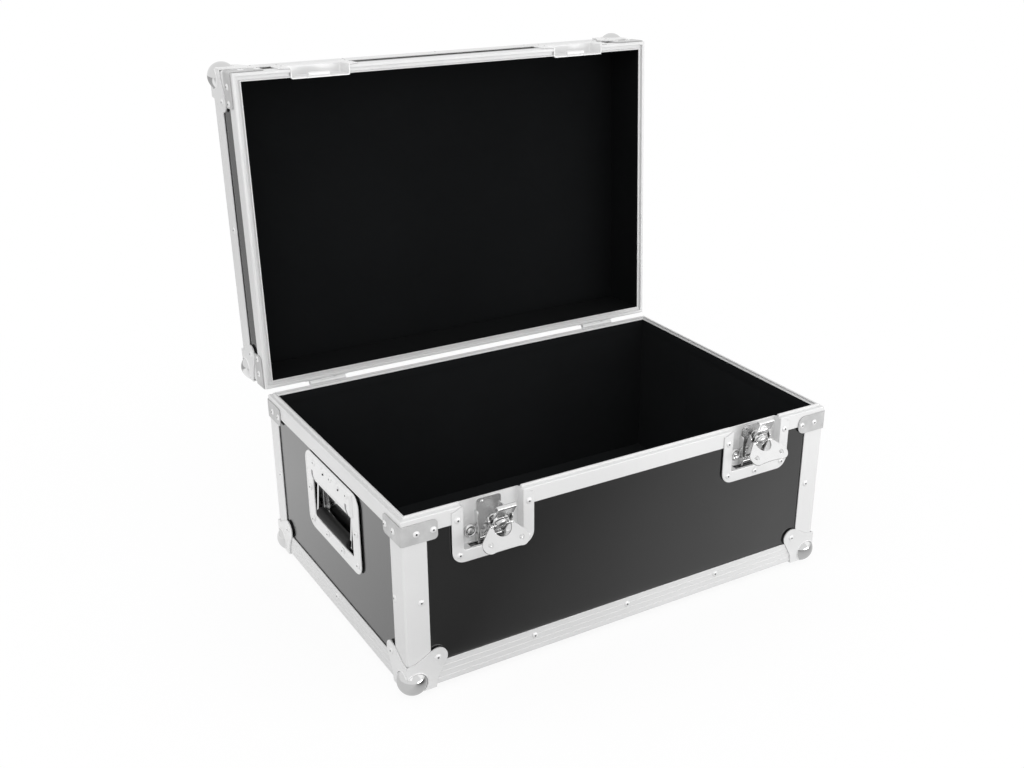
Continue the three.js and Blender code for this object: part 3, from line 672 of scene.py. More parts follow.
def add_rims():
    gap = LATCH_OPENING + DISH_WALL + SEAT
    x = LATCHES["right"][0]
    around = rim_stations(-x - gap, (-1, -1), (-1, 1), (1, 1), (1, -1), end=x + gap)
    middle = rim_stations(-x + gap, end=x - gap)
    parts = (("rim", around, "rim_frame"), ("rim_middle", middle, "rim_front_middle"))
    for word, home, profile, z in (
        ("base", BASE, base_rim_profile(), BASE_HEIGHT), ("lid", LID, lid_rim_profile(), 0),
    ):
        place = home @ shift(0, 0, z)
        for part, stations, node in parts:
            piece(
                f"{word}_closing_{part}", rim_run(profile, stations), place, word, ALU["x"], "aluminium",
                bevel=RIM_BEVEL, stands_for=[f"{word}_{node}"],
            )


# Corner braces: sheet bent round the corner, with heights that run away from the rim
BRACE_LENGTH = 43
BRACE_TOP = 6
BRACE_BOTTOM = 30
BRACE_THICK = 1.2
BRACE_BEND = 2.6
BRACE_BEND_STEPS = 6
BRACE_ROUND = {"base_front_right": 10}
BRACE_ROUND_USUAL = 5
BRACE_BEVEL = 0.35


def brace(round_end):
    half = (BRACE_BOTTOM - BRACE_TOP) / 2
    middle = (BRACE_BOTTOM + BRACE_TOP) / 2
    outer = -SEAT - BRACE_THICK
    bend_centre = outer + BRACE_BEND
    leg = arc(BRACE_LENGTH - round_end, half - round_end, round_end, 0, 90, 8)
    plan = [((run, outer), (0, -1), reach) for run, reach in leg]
    for away in arc(0, 0, 1, -90, -90, BRACE_BEND_STEPS):
        plan.append(((bend_centre + BRACE_BEND * away[0], bend_centre + BRACE_BEND * away[1]), away, half))
    plan += [((outer, run), (-1, 0), reach) for run, reach in reversed(leg)]
    loops = []
    for (x, y), (nx, ny), reach in plan:
        bx, by = x - nx * BRACE_THICK, y - ny * BRACE_THICK
        low, high = middle - reach, middle + reach
        loops.append([(x, y, low), (x, y, high), (bx, by, high), (bx, by, low)])
    return loft(loops, True, True, True)


def add_corner_braces():
    for word, home, sz, z in (("base", BASE, -1, BASE_HEIGHT), ("lid", LID, 1, 0)):
        for corner, (sx, sy) in CORNERS.items():
            shape = brace(BRACE_ROUND.get(f"{word}_{corner}", BRACE_ROUND_USUAL))
            piece(
                f"{word}_brace_{corner}", shape, corner_place(sx, sy, sz, z, home), word, DULL,
                "galvanised_steel", bevel=BRACE_BEVEL, sharp=40, stands_for=[f"{word}_corner_brace_{corner}"],
            )


# Ball corners
BALL_RADIUS = 18
BALL_GAP = 0.7
BALL_INSET = 10
BALL_STEPS = 64
TO_CORNER = 54.7
SKIN = -1.8
LOBE_CENTRE = 37.5
LOBE_RADIUS = 12.5
NOTCH_REACH = 35
NOTCH_SHOULDER = 10
NOTCH_LEAN = 1.5
CORNER_BEVEL = 8
RING_RADIUS = 14.6
RING_BEAD = 0.8
PLATE_BEVEL = 0.45
PLATE_CUT_REACH = 60
TIP_OVERRUN = 5


def corner_ball(radius):
    profile = [(0, -radius)] + arc(0, 0, radius, -90, 180, BALL_STEPS // 2)[1:-1] + [(0, radius)]
    centre = shift(BALL_INSET, BALL_INSET, BALL_INSET)
    return lathe(profile, BALL_STEPS, centre @ Matrix.Rotation(math.radians(TO_CORNER), 4, (1, -1, 0)))


def ball_corner():
    """Three pressed lobes round a ball that stands proud of all three faces, a fine gap round it."""
    outline = [(SKIN, SKIN), (NOTCH_REACH, SKIN), (NOTCH_REACH + NOTCH_LEAN, NOTCH_SHOULDER)]
    outline += arc(LOBE_CENTRE, LOBE_CENTRE, LOBE_RADIUS, -45, 180, 24)
    outline += [(NOTCH_SHOULDER, NOTCH_REACH + NOTCH_LEAN), (SKIN, NOTCH_REACH)]
    under = prism(outline, SKIN, -SEAT, "z")
    turn_faces = Matrix(((1, 0, 0, 0), (0, 0, 1, 0), (0, 1, 0, 0), (0, 0, 0, 1)))
    front = placed(under, turn_faces)
    side = placed(front, SWAP)
    rings = []
    for face in (Matrix.Identity(4), turn_faces, SWAP @ turn_faces):
        ring = arc(BALL_INSET, BALL_INSET, RING_RADIUS, -46, 182, 40)
        rings.append(tube([face @ Vector((x, y, SKIN)) for x, y in ring], RING_BEAD, 10))
    out = SKIN - TIP_OVERRUN
    along = SKIN + CORNER_BEVEL + 2 * TIP_OVERRUN
    tip = [(out, out, out), (along, out, out), (out, along, out), (out, out, along)]
    inside = block(*[(-SEAT, PLATE_CUT_REACH)] * 3)
    plates = combined(under, [front, side], "UNION")
    plates = combined(plates, [(tip, [(0, 2, 1), (0, 1, 3), (0, 3, 2), (1, 2, 3)])], "DIFFERENCE")
    plates = combined(plates, [inside, corner_ball(BALL_RADIUS + BALL_GAP)], "DIFFERENCE")
    ball = combined(corner_ball(BALL_RADIUS), [inside], "DIFFERENCE")
    return plates, ball, merged(*rings)


def add_ball_corners():
    plates, ball, rings = ball_corner()
    for word, home, sz, z in (("base", BASE, 1, 0), ("lid", LID, -1, LID_HEIGHT)):
        for corner, (sx, sy) in CORNERS.items():
            place = corner_place(sx, sy, sz, z, home)
            piece(
                f"{word}_ball_plates_{corner}", plates, place, word, ZINC, "zinc_plate",
                bevel=PLATE_BEVEL, sharp=38, stands_for=[f"{word}_ball_corner_{corner}"],
            )
            piece(f"{word}_ball_{corner}", ball, place, word, CHROME, "zinc_plate")
            piece(f"{word}_ball_ring_{corner}", rings, place, word, ZINC, "zinc_plate")


# Pressed dishes. Each step is (drawn in, tighter round, set back) from the flange, the mouth or the back
FLANGE_STEPS = ((0, 0, 1.3), (0, 0, 0.5), (0.5, 0.5, 0), (3.4, 3.2, 0))
MOUTH_STEPS = ((-1.4, -1.4, 0), (-0.5, -0.5, 0.4), (0, 0, 1.4))
BACK_STEPS = ((0, 0, -1.2), (0.4, 0, -0.3), (1.2, 0, 0))


def u_line(half, foot, round_corner, top):
    """A U from its top left end, round two bottom corners, to its top right end."""
    inner, low = half - round_corner, foot + round_corner
    left = arc(-inner, low, round_corner, 180, 90, 8)
    return [(-half, top)] + left + arc(inner, low, round_corner, 270, 90, 8) + [(half, top)]


def pressed_dish(flange, pocket):
    """A pressed tray: a flange whose edge turns back, a rounded mouth, walls and a back plate."""
    front = -HALF_D - SEAT - DISH_WALL
    loops = []
    for (half, foot, radius, top), y, steps in (
        (flange, front, FLANGE_STEPS), (pocket, front, MOUTH_STEPS), (pocket, LATCH_BACK, BACK_STEPS),
    ):
        for drawn_in, tighter, deep in steps:
            line = u_line(half - drawn_in, foot + drawn_in, radius - tighter, top)
            loops.append([(x, y + deep, z) for x, z in line])
    verts, faces = loft(loops, False)
    return verts, faces + [tuple(range(len(verts) - len(loops[0]), len(verts)))]


def sheet_metal(name, shape, place, body, stands_for, cuts=()):
    """A zinc-plated skin given the dishes' wall, kept on its outer side."""
    mesh = mesh_from(shape, name)
    form = bmesh.new()
    form.from_mesh(mesh)
    bmesh.ops.remove_doubles(form, verts=form.verts, dist=MERGE_DISTANCE)
    bmesh.ops.recalc_face_normals(form, faces=form.faces)
    form.normal_update()
    foremost = min(form.faces, key=lambda f: f.calc_center_median().y)
    if foremost.normal.y > 0:
        bmesh.ops.reverse_faces(form, faces=form.faces)
    form.to_mesh(mesh)
    form.free()
    obj = new_object(name, mesh)
    wall = obj.modifiers.new("wall", "SOLIDIFY")
    wall.thickness = DISH_WALL
    wall.offset = -1
    wall.use_even_offset = True
    bpy.context.view_layer.update()
    solid = evaluated(obj)
    bpy.data.objects.remove(obj)
    if cuts:
        solid = combined(solid, cuts, "DIFFERENCE", crossing=True)
    return piece(name, solid, place, body, ZINC, "zinc_plate", stands_for=stands_for)


def polish(obj, place, inside):
    """Gives a pressed tray's pocket the polish that its flange has lost."""
    obj.data.materials.append(POLISHED)
    back = place.inverted()
    for face in obj.data.polygons:
        if inside(back @ face.center):
            face.material_index = 1


# Latch dishes and keepers
LATCH_FLANGE_ROUND = 15
LATCH_POCKET_ROUND = 2.2
FLANGE_DROP = 5
KEEPER_FLANGE_ROUND = 7.5
KEEPER_FLANGE_FOOT = 38
KEEPER_OPENING = 28
SLOT_ACROSS = (-28, 14)
SLOT_FRONT = 1.6
SLOT_BACK = 0.9
SLOT_OVERRUN = 0.2
BOSS_PLACE = (-24.5, 39)
BOSS_PROFILE = (
    (8.1, 0), (8.1, 1.6), (7.4, 2.9), (6.4, 3.5), (5.6, 3.1), (5.2, 1.5), (4.3, 1.2), (3.7, 2.5), (2.8, 3.5),
    (1.3, 4.0), (0, 4.1),
)
GUIDE_OUT = 7.5
GUIDE_SINK = 0.4
GUIDE_TOP = 204.5
GUIDE_ROUND = 5
GUIDE_THICK = 2
GUIDE_INNER = 15.8
PIVOT_PIN = (1.2, 17.2)
WEB_FOOT = 7
WEB_TOP = 47.5
WEB_ROUND = 4
WEB_FACES = (0.55, 0.02)
STUD_PLACE = (-8.6, 43)
STUD_SEAT = 0.5
STUD_PROFILE = ((2.2, 0), (2.0, 0.8), (1.2, 1.3), (0, 1.4))
SMALL_BEVEL = 0.3
LIP_FOOT = 5.7
LIP_THICK = 1.5
LIP_OUT = 3.5
LIP_TOP = 10.6
LIP_HALF = 14
LIP_ROUNDS = (0, 0, 0.8, 0.5, 0.5, 1.6)


def latch_bracket():
    """Two guides with the carrier's pivot pin between them, on a web with a stud."""
    foot = BASE_HEIGHT - PIVOT_DROP
    depth = (LATCH_BACK - GUIDE_OUT, LATCH_BACK + GUIDE_SINK)
    guide = fillet(box_outline(*depth, LATCH_FLOOR - GUIDE_SINK, GUIDE_TOP), [0, 0, 0, GUIDE_ROUND], 6)
    starts = (-GUIDE_INNER - GUIDE_THICK, GUIDE_INNER)
    guides = [prism(guide, start, start + GUIDE_THICK, "x") for start in starts]
    radius, half = PIVOT_PIN
    pin = rod(radius, -half, half, 16, shift(0, LATCH_BACK - PIVOT_OUT, foot) @ ACROSS)
    web = box_outline(-GUIDE_INNER, GUIDE_INNER, LATCH_FLOOR + WEB_FOOT, foot + WEB_TOP)
    web = fillet(web, [0, 0, WEB_ROUND, WEB_ROUND], 6)
    web_front, web_back = (LATCH_BACK - face for face in WEB_FACES)
    out = shift(STUD_PLACE[0], LATCH_BACK - STUD_SEAT, foot + STUD_PLACE[1]) @ turn_x(90)
    stud = lathe(STUD_PROFILE, 24, out)
    return merged(*guides, pin, prism(web, web_front, web_back, "y"), stud)


def add_latch_dishes():
    flange = (LATCH_FLANGE, LATCH_FOOT, LATCH_FLANGE_ROUND, BASE_HEIGHT - FLANGE_DROP)
    pocket = (LATCH_OPENING, LATCH_FLOOR, LATCH_POCKET_ROUND, BASE_HEIGHT - SEAT)
    slot = block(
        SLOT_ACROSS, (-HALF_D + SLOT_FRONT, LATCH_BACK - SLOT_BACK),
        (LATCH_FLOOR - DISH_WALL - SLOT_OVERRUN, LATCH_FLOOR + SLOT_OVERRUN),
    )
    dish, bracket = pressed_dish(flange, pocket), latch_bracket()
    for side, (x, _, _) in LATCHES.items():
        place = BASE @ shift(x)
        sheet_metal(f"latch_tray_{side}", dish, place, "base", [f"latch_dish_{side}"], [slot])
        out = shift(x + BOSS_PLACE[0], LATCH_BACK, BASE_HEIGHT - BOSS_PLACE[1]) @ turn_x(90)
        boss = lathe(BOSS_PROFILE, 32, out)
        piece(f"latch_boss_{side}", boss, BASE, "base", CHROME, "zinc_plate", sharp=50)
        piece(f"latch_guides_{side}", bracket, place, "base", SATIN, "zinc_plate", bevel=SMALL_BEVEL)


def add_keepers():
    """The lid's half of each latch pocket, drawn upside down against the base's."""
    flip = Matrix.Diagonal((1, 1, -1, 1))
    skin = pressed_dish(
        (LATCH_FLANGE, -KEEPER_FLANGE_FOOT, KEEPER_FLANGE_ROUND, -FLANGE_DROP),
        (LATCH_OPENING, -KEEPER_OPENING, LATCH_POCKET_ROUND, -SEAT),
    )
    root, out = LATCH_BACK + GUIDE_SINK, LATCH_BACK - LIP_OUT
    shelf = LIP_FOOT + LIP_THICK
    points = [(root, LIP_FOOT), (root, shelf), (out, shelf), (out, LIP_TOP)]
    points += [(out - LIP_THICK, LIP_TOP), (out - LIP_THICK, LIP_FOOT)]
    lip = prism(fillet(points, LIP_ROUNDS, 4), -LIP_HALF, LIP_HALF, "x")
    for side, (x, _, _) in LATCHES.items():
        sheet_metal(f"latch_catch_{side}", skin, LID @ shift(x) @ flip, "lid", [f"latch_keeper_{side}"])
        piece(f"latch_lip_{side}", lip, LID @ shift(x), "lid", ZINC, "zinc_plate", bevel=SMALL_BEVEL)


# Latch mechanisms, drawn upright with the pivot pin at the origin
CARRIER_HALF = 14
CARRIER_TOP = 50
CARRIER_ROUND = 4
CARRIER_FACES = (0.8, 2.3)
CARRIER_HOLES = ((-8.6, 43, 2.6), (8.6, 12, 2.0))
HOLE_MIDDLE = 1.5
HOLE_REACH = 3
CHEEK_OUTLINE = ((2.3, 6), (-3.5, 9), (-3.5, 40), (2.3, 44))
CHEEK_ROUNDS = (0, 2.5, 3.5, 0)
CHEEK_THICK = 1.5
CHEEK_BEVEL = 0.25
KNUCKLE = (1.5, 2.5)
HOOK_HALF = 11.5
HOOK_SHEET = 1.5
HOOK_FRONT = -1.0
HOOK_FOOT = 12
HOOD_FRONT = -3.8
HOOD_FOOT = 51
HOOD_ROOF = 64.8
HOOK_TIP = (0.8, 2)
HOOK_TIP_FOOT = 61.2
HOOK_ROUNDS = (0.3, 0.3, 0.6, 0.6, 0.8, 0.5, 0.4, 0.4, 1.8, 3.0, 0.8, 0.6)
HOOK_SLOT = ((-3.3, 3.3), (-9, 9), (32.7, 42.8))
HUB_PROFILE = (
    (0, 0), (11, 0), (11, 2.7), (10.3, 3.5), (8.5, 3.5), (8.0, 4.0), (7.7, 5.0), (6.9, 6.1), (5.7, 7.1),
    (4.2, 7.9), (2.9, 8.25), (2.5, 7.9), (1.6, 7.8), (1.2, 8.3), (0, 8.5),
)
HUB_SHAFT = (3, -2, 0.5)
EAR_OUTLINE = (-9.0, -3, 33.5, 38.5)
EAR_ROUND = 2.4
EAR_STARTS = (-10, 8.5)
EAR_THICK = 1.5
WING_PIN_SIZE = (1, 14.6)
BUTTON_PROFILE = ((2.1, 0), (1.9, 0.5), (1.2, 0.9), (0, 1.0))
LOBE_ROUND = 9.5
LOBE_SPREAD = 19.5
LOBE_REACH = 19.3
WAIST_DROP = 26.5
NOTCH_ROUND = 11.4
NOTCH_DROP = 2.4
ARM_INNER = 10.3
ARM_OUTER = 14.5
WING_FACES = (-1.1, 0.9)
WING_BEVEL = 0.6
WING_KNUCKLE = 1.9
WING_BORE = (1.3, 20)
WING_GROOVE = (2.3, 3.5, 0.4, 3)
BUTTON_SEAT = 1.0


def carrier_parts():
    """The carrier's slotted plate, and its cheeks with the knuckle that turns on the pivot pin."""
    outline = box_outline(-CARRIER_HALF, CARRIER_HALF, 0, CARRIER_TOP)
    plate = prism(fillet(outline, [0, 0, CARRIER_ROUND, CARRIER_ROUND], 6), *CARRIER_FACES, "y")
    holes = []
    for x, z, radius in CARRIER_HOLES:
        holes.append(rod(radius, -HOLE_REACH, HOLE_REACH, 20, shift(x, HOLE_MIDDLE, z) @ turn_x(90)))
    cheek = fillet(CHEEK_OUTLINE, CHEEK_ROUNDS, 5)
    starts = (-CARRIER_HALF - CHEEK_THICK, CARRIER_HALF)
    cheeks = [prism(cheek, start, start + CHEEK_THICK, "x") for start in starts]
    knuckle = sleeve(*KNUCKLE, -CARRIER_HALF, CARRIER_HALF, 20, ACROSS)
    return combined(plate, holes, "DIFFERENCE"), merged(*cheeks, knuckle)


def hook_strap():
    """The hook's plate, hooded at the top to step over the keeper's lip and turn in behind it."""
    back, inner = HOOK_FRONT + HOOK_SHEET, HOOD_FRONT + HOOK_SHEET
    tip_front, tip_back = HOOK_TIP
    top = HOOD_ROOF + HOOK_SHEET
    points = [(HOOK_FRONT, HOOK_FOOT), (back, HOOK_FOOT), (back, HOOD_FOOT + HOOK_SHEET)]
    points += [(inner, HOOD_FOOT + HOOK_SHEET), (inner, HOOD_ROOF), (tip_front, HOOD_ROOF)]
    points += [(tip_front, HOOK_TIP_FOOT), (tip_back, HOOK_TIP_FOOT), (tip_back, top), (HOOD_FRONT, top)]
    points += [(HOOD_FRONT, HOOD_FOOT), (HOOK_FRONT, HOOD_FOOT)]
    strap = prism(fillet(points, HOOK_ROUNDS, 6), -HOOK_HALF, HOOK_HALF, "x")
    return combined(strap, [block(*HOOK_SLOT)], "DIFFERENCE")


def hub_rotor():
    """The hub's dome and shaft, with two ears that hold the wing's pin."""
    out = shift(0, HUB_BACK, HUB_HEIGHT) @ turn_x(90)
    ear = fillet(box_outline(*EAR_OUTLINE), [EAR_ROUND, 0, 0, EAR_ROUND], 5)
    ears = [prism(ear, start, start + EAR_THICK, "x") for start in EAR_STARTS]
    radius, half = WING_PIN_SIZE
    pin = rod(radius, -half, half, 16, shift(0, WING_PIN, HUB_HEIGHT) @ ACROSS)
    shaft_radius, low, high = HUB_SHAFT
    return merged(lathe(HUB_PROFILE, 48, out), rod(shaft_radius, low, high, 20, out), pin, *ears)


def butterfly():
    """The turning wing, lying down round the hub: an arm on each side of it and two round lobes."""
    centre = HUB_HEIGHT - LOBE_REACH
    lobe = arc(LOBE_SPREAD, centre, LOBE_ROUND, -108, 144, 20)
    end_x, end_z = lobe[0]
    waist = []
    for k in range(1, 10):
        t = k / 10
        z = (1 - 2 * t + 2 * t * t) * end_z + 2 * t * (1 - t) * (HUB_HEIGHT - WAIST_DROP)
        waist.append((end_x * (2 * t - 1), z))
    line = [(-ARM_INNER, HUB_HEIGHT), (-ARM_OUTER, HUB_HEIGHT)] + [(-x, z) for x, z in reversed(lobe)]
    line += waist + lobe + [(ARM_OUTER, HUB_HEIGHT), (ARM_INNER, HUB_HEIGHT)]
    line += arc(0, HUB_HEIGHT - NOTCH_DROP, NOTCH_ROUND, 0, -180, 24)
    blade = prism(line, WING_PIN + WING_FACES[0], WING_PIN + WING_FACES[1], "y")
    across = shift(0, WING_PIN, HUB_HEIGHT) @ ACROSS
    width = ARM_OUTER - ARM_INNER
    knuckles = [rod(WING_KNUCKLE, start, start + width, 20, across) for start in (-ARM_OUTER, ARM_INNER)]
    bore, half = WING_BORE
    tools = [rod(bore, -half, half, 16, across)]
    for x in (-LOBE_SPREAD, LOBE_SPREAD):
        tools.append(sleeve(*WING_GROOVE, 32, shift(x, WING_PIN, centre) @ turn_x(90)))
    return combined(combined(blade, knuckles, "UNION"), tools, "DIFFERENCE")


def wing_buttons():
    height = HUB_HEIGHT - LOBE_REACH
    places = [shift(x, WING_PIN - BUTTON_SEAT, height) @ turn_x(90) for x in (-LOBE_SPREAD, LOBE_SPREAD)]
    return merged(*[lathe(BUTTON_PROFILE, 24, place) for place in places])


def add_latch_works():
    plate, cheeks = carrier_parts()
    strap, rotor, wing, buttons = hook_strap(), hub_rotor(), butterfly(), wing_buttons()
    for side in LATCHES:
        place = carrier_place(side)
        lying = wing_place(side)
        carrier, hook, hub, blade = (f"latch_{word}_{side}" for word in ("carrier", "hook", "hub", "wing"))
        for name, shape, at, body, material, edges, nodes in (
            ("arm", plate, place, carrier, POLISHED, {"bevel": SMALL_BEVEL}, [carrier]),
            ("cheeks", cheeks, place, carrier, POLISHED, {"bevel": CHEEK_BEVEL}, ()),
            ("strap", strap, place, hook, SATIN, {"bevel": SMALL_BEVEL}, [hook]),
            ("rotor", rotor, place, hub, CHROME, {"sharp": 50}, [hub]),
            ("butterfly", wing, lying, blade, SATIN, {"bevel": WING_BEVEL, "steps": 3}, [blade]),
            ("buttons", buttons, lying, blade, CHROME, {}, ()),
        ):
            piece(f"latch_{name}_{side}", shape, at, body, material, "zinc_plate", stands_for=nodes, **edges)


# Handles, drawn for the left side with x running into the case. A tray's step is (grown, set back)
TRAY_FLANGE = ((0, 1.4), (0, 0.6), (-0.6, 0), (-3.4, 0), (-4.2, 0.35))
TRAY_MOUTH = ((3.0, 0.35), (1.6, 0), (0.6, 0.2), (0, 1.2))
TRAY_THROAT = ((0, 1.2), (0.05, 1.5))
TRAY_SHOULDER = ((0, 1.9),)
TRAY_BACK = ((0, -1.2), (-0.4, -0.3), (-1.2, 0))
TRAY_ROUND = 2.5
ARM_SLOT_HALF = 2.6
ARM_SLOT_REACH = (-3, 1.8)
ARM_SLOT_FOOT = 1
ARM_SLOT_TOP = 5.5
ARM_HALF = 3
ARM_THICK = 4
ARM_FOOT = 4
ARM_ROUND = 2.8
PIVOT_BAR = 3
GRIP_BAR = (1.6, 2.9)
GRIP_BORE = 3.3
GRIP_END = ((5.6, 0), (6.6, 0.6), (7.0, 1.8), (7.1, 4))


def round_box(half, z0, z1, radius, x):
    """A rounded rectangle across the case, at one distance into it."""
    y, low, high = half - radius, z0 + radius, z1 - radius
    out = []
    for cy, cz, start in ((-y, low, 180), (y, low, 270), (y, high, 0), (-y, high, 90)):
        out += [(x, a, b) for a, b in arc(cy, cz, radius, start, 90, 8)]
    return out


def handle_tray():
    """A pressed tray with a window in its face and a taller pocket behind it."""
    front = -SEAT - DISH_WALL
    flange = (HANDLE_HALF, HANDLE_FOOT, HANDLE_TOP, HANDLE_ROUND)
    window = (POCKET_HALF, POCKET_FOOT, WINDOW_TOP, TRAY_ROUND)
    pocket = (POCKET_HALF, POCKET_FOOT, POCKET_TOP, TRAY_ROUND)
    loops = []
    for (half, foot, top, radius), start, steps in (
        (flange, front, TRAY_FLANGE), (window, front, TRAY_MOUTH), (window, 0, TRAY_THROAT),
        (pocket, 0, TRAY_SHOULDER), (pocket, POCKET_DEPTH, TRAY_BACK),
    ):
        for grow, deep in steps:
            loops.append(round_box(half + grow, foot - grow, top + grow, radius + grow, start + deep))
    return loft(loops, True, False, True)


def handle_bail():
    """Two flat arms, the pivot bar above and the grip's bar below."""
    arm = box_outline(BAIL_X - ARM_HALF, BAIL_X + ARM_HALF, GRIP_Z - ARM_FOOT, BAIL_Z + ARM_HALF)
    arm = fillet(arm, ARM_ROUND, 5)
    arms = [prism(arm, y - ARM_THICK / 2, y + ARM_THICK / 2, "y") for y in (-ARM_Y, ARM_Y)]
    over, grip_radius = GRIP_BAR
    bars = []
    for z, half, radius in ((BAIL_Z, POCKET_HALF - SEAT, PIVOT_BAR), (GRIP_Z, ARM_Y + over, grip_radius)):
        bars.append(tube([(BAIL_X, -half, z), (BAIL_X, half, z)], radius, 20))
    return merged(*arms, *bars)


def handle_grip():
    profile = [(GRIP_BORE, -GRIP_HALF)] + [(radius, in_from - GRIP_HALF) for radius, in_from in GRIP_END]
    profile += [(radius, -z) for radius, z in reversed(profile)] + [(GRIP_BORE, -GRIP_HALF)]
    return lathe(profile, 40, shift(BAIL_X, 0, GRIP_Z) @ turn_x(90))


def add_handles():
    hang = shift(BAIL_X, 0, BAIL_Z)
    rest = hang @ Matrix.Rotation(math.radians(BAIL_REST), 4, "Y") @ hang.inverted()
    slots = []
    for y in (-ARM_Y, ARM_Y):
        across = (y - ARM_SLOT_HALF, y + ARM_SLOT_HALF)
        slots.append(block(ARM_SLOT_REACH, across, (WINDOW_TOP - ARM_SLOT_FOOT, BAIL_Z + ARM_SLOT_TOP)))
    for side, sign in (("left", 1), ("right", -1)):
        place = BASE @ shift(-sign * HALF_W, -HANDLE_FORWARD) @ Matrix.Diagonal((sign, 1, 1, 1))
        tray = sheet_metal(
            f"handle_tray_{side}", placed(handle_tray(), SWAP), place @ SWAP, "base", [f"handle_dish_{side}"],
            [placed(slot, SWAP) for slot in slots],
        )
        polish(tray, place, lambda p: p.x > 0)
        body = f"handle_{side}"
        piece(
            f"handle_frame_{side}", handle_bail(), place @ rest, body, CHROME, "zinc_plate",
            bevel=SMALL_BEVEL, stands_for=[f"handle_bail_{side}"],
        )
        piece(
            f"handle_sleeve_{side}", handle_grip(), place @ rest, body, RUBBER, "grip",
            stands_for=[f"handle_grip_{side}"],
        )
        add_handle_cowl(side, place, slots)


# Handle cowls. Each step is (in at the ends, up at the foot, down at the top, set back)
COWL_SKIRT = ((0, 0, 0, 1.1), (0, 0, 0, 0), (0.6, 0.8, 0.4, -0.9))
COWL_FACE = ((3.0, -1.2, 1.6, 0.5), (3.8, 0, 2.1, 0.1), (4.6, 1.2, 2.8, 0))
COWL_ROUND = 4
COWL_FACE_ROUND = 3
COWL_STUDS = (18, -28)
COWL_STUD_HEIGHT = 191
COWL_STUD_PROFILE = ((0, -0.5), (4.6, -0.5), (4.6, 0), (4.3, 0.6), (3.2, 1.1), (1.6, 1.3), (0, 1.35))
STUD_SHADE_DOT = (1.4, -0.5, 0.9)
STUD_HOLE_SHIFT = (-3, -3.2)
SLOT_STRETCH = 2.5


def add_handle_cowl(side, place, slots):
    """The raised cowl over the bail's pivot, with two pressed studs."""
    front = -SEAT - DISH_WALL
    face = front - COWL_OUT
    loops = []
    for foot, x, radius, steps in (
        (WINDOW_TOP, front, COWL_ROUND, COWL_SKIRT), (COWL_CREASE, face, COWL_FACE_ROUND, COWL_FACE),
    ):
        for inward, up, down, deep in steps:
            loops.append(round_box(COWL_HALF - inward, foot + up, COWL_TOP - down, radius, x + deep))
    reach = shift(face) @ Matrix.Diagonal((SLOT_STRETCH, 1, 1, 1))
    cowl = combined(loft(loops, True, True, True), [placed(slot, reach) for slot in slots], "DIFFERENCE")
    piece(f"handle_cowl_{side}", cowl, place, "base", ZINC, "zinc_plate", sharp=24)
    out = Matrix.Rotation(-math.pi / 2, 4, "Y")
    studs, holes = [], []
    for y in COWL_STUDS:
        studs.append(lathe(COWL_STUD_PROFILE, 24, shift(face, y, COWL_STUD_HEIGHT) @ out))
        # Beside each stud, a dark rod standing 0.9 mm proud of the face: painted shade for a hole
        at = shift(face, y + STUD_HOLE_SHIFT[0], COWL_STUD_HEIGHT + STUD_HOLE_SHIFT[1])
        holes.append(rod(*STUD_SHADE_DOT, 16, at @ out))
    piece(f"handle_studs_{side}", merged(*studs), place, "base", ZINC, "zinc_plate")
    piece(f"handle_stud_hole_shade_{side}", merged(*holes), place, "base", BORE_SHADE, "zinc_plate")


# Hinges
HINGE_PLACES = {"left": -215, "right": 215}
HINGE_HALF = 30
HINGE_GAP = 4.1
HINGE_HEIGHT = 31
HINGE_ROUNDS = (0.5, 0.5, 5, 5)
LEAF_BACK, LEAF_FRONT = -4.2, -2.7
TAB_FOOT = 1.5
TAB_STEP = 0.6
TAB_ROUND = 0.2
BARREL = 3.5
BARREL_BORE = 1.8
HINGE_PIN = 1.5
BASE_BARREL = 10
LID_BARREL = (10.3, 25)
HINGE_BEVEL = 0.25


def hinge_leaf(word):
    """A leaf's plate, with tabs that curl round the pin: one in the middle or two at the ends."""
    plate = fillet(box_outline(-HINGE_HALF, HINGE_HALF, HINGE_GAP, HINGE_GAP + HINGE_HEIGHT), HINGE_ROUNDS, 5)
    parts = [prism(plate, LEAF_BACK, LEAF_FRONT, "y")]
    first, last = LID_BARREL
    spans = [(-BASE_BARREL, BASE_BARREL)] if word == "base" else [(-last, -first), (first, last)]
    points = [(LEAF_BACK, HINGE_GAP + TAB_FOOT), (LEAF_BACK, 0), (0, 0)]
    points += [(0, HINGE_GAP - TAB_STEP), (LEAF_FRONT, HINGE_GAP + TAB_FOOT)]
    tab = fillet(points, TAB_ROUND, 2)
    for start, end in spans:
        parts.append(prism(tab, start, end, "x"))
        if word == "base":
            parts.append(rod(BARREL, start, end, 28, ACROSS))
        else:
            parts.append(sleeve(BARREL_BORE, BARREL, start, end, 28, ACROSS))
    if word == "base":
        parts.append(rod(HINGE_PIN, -last, last, 20, ACROSS))
    return merged(*parts)


def add_hinges():
    for side, x in HINGE_PLACES.items():
        for word, home, sz, z in (("base", BASE, -1, BASE_HEIGHT), ("lid", LID, 1, -SEAT)):
            place = home @ shift(x, PIN_Y, z) @ Matrix.Diagonal((1, 1, sz, 1))
            piece(
                f"hinge_{word}_{side}", hinge_leaf(word), place, word, ZINC, "zinc_plate", bevel=HINGE_BEVEL,
                stands_for=[f"hinge_{word}_leaf_{side}"],
            )


# Lining
FELT = 0.9
FELT_INSET = BOARD_INNER + 0.1
FELT_TOP = 0.3
FACING = 0.4
FACING_GAP = 0.05
FACING_DROP = 1
PADDING_RUN = 24
COVER_PLAY = 0.1
COVER_WALL = 1
COVER_FOOT = 2.4
COVER_LIP = 1.4
COVER_TOP = 1.5
LID_COVER = (29.3, 30.2)
PADDING_OVER = 1


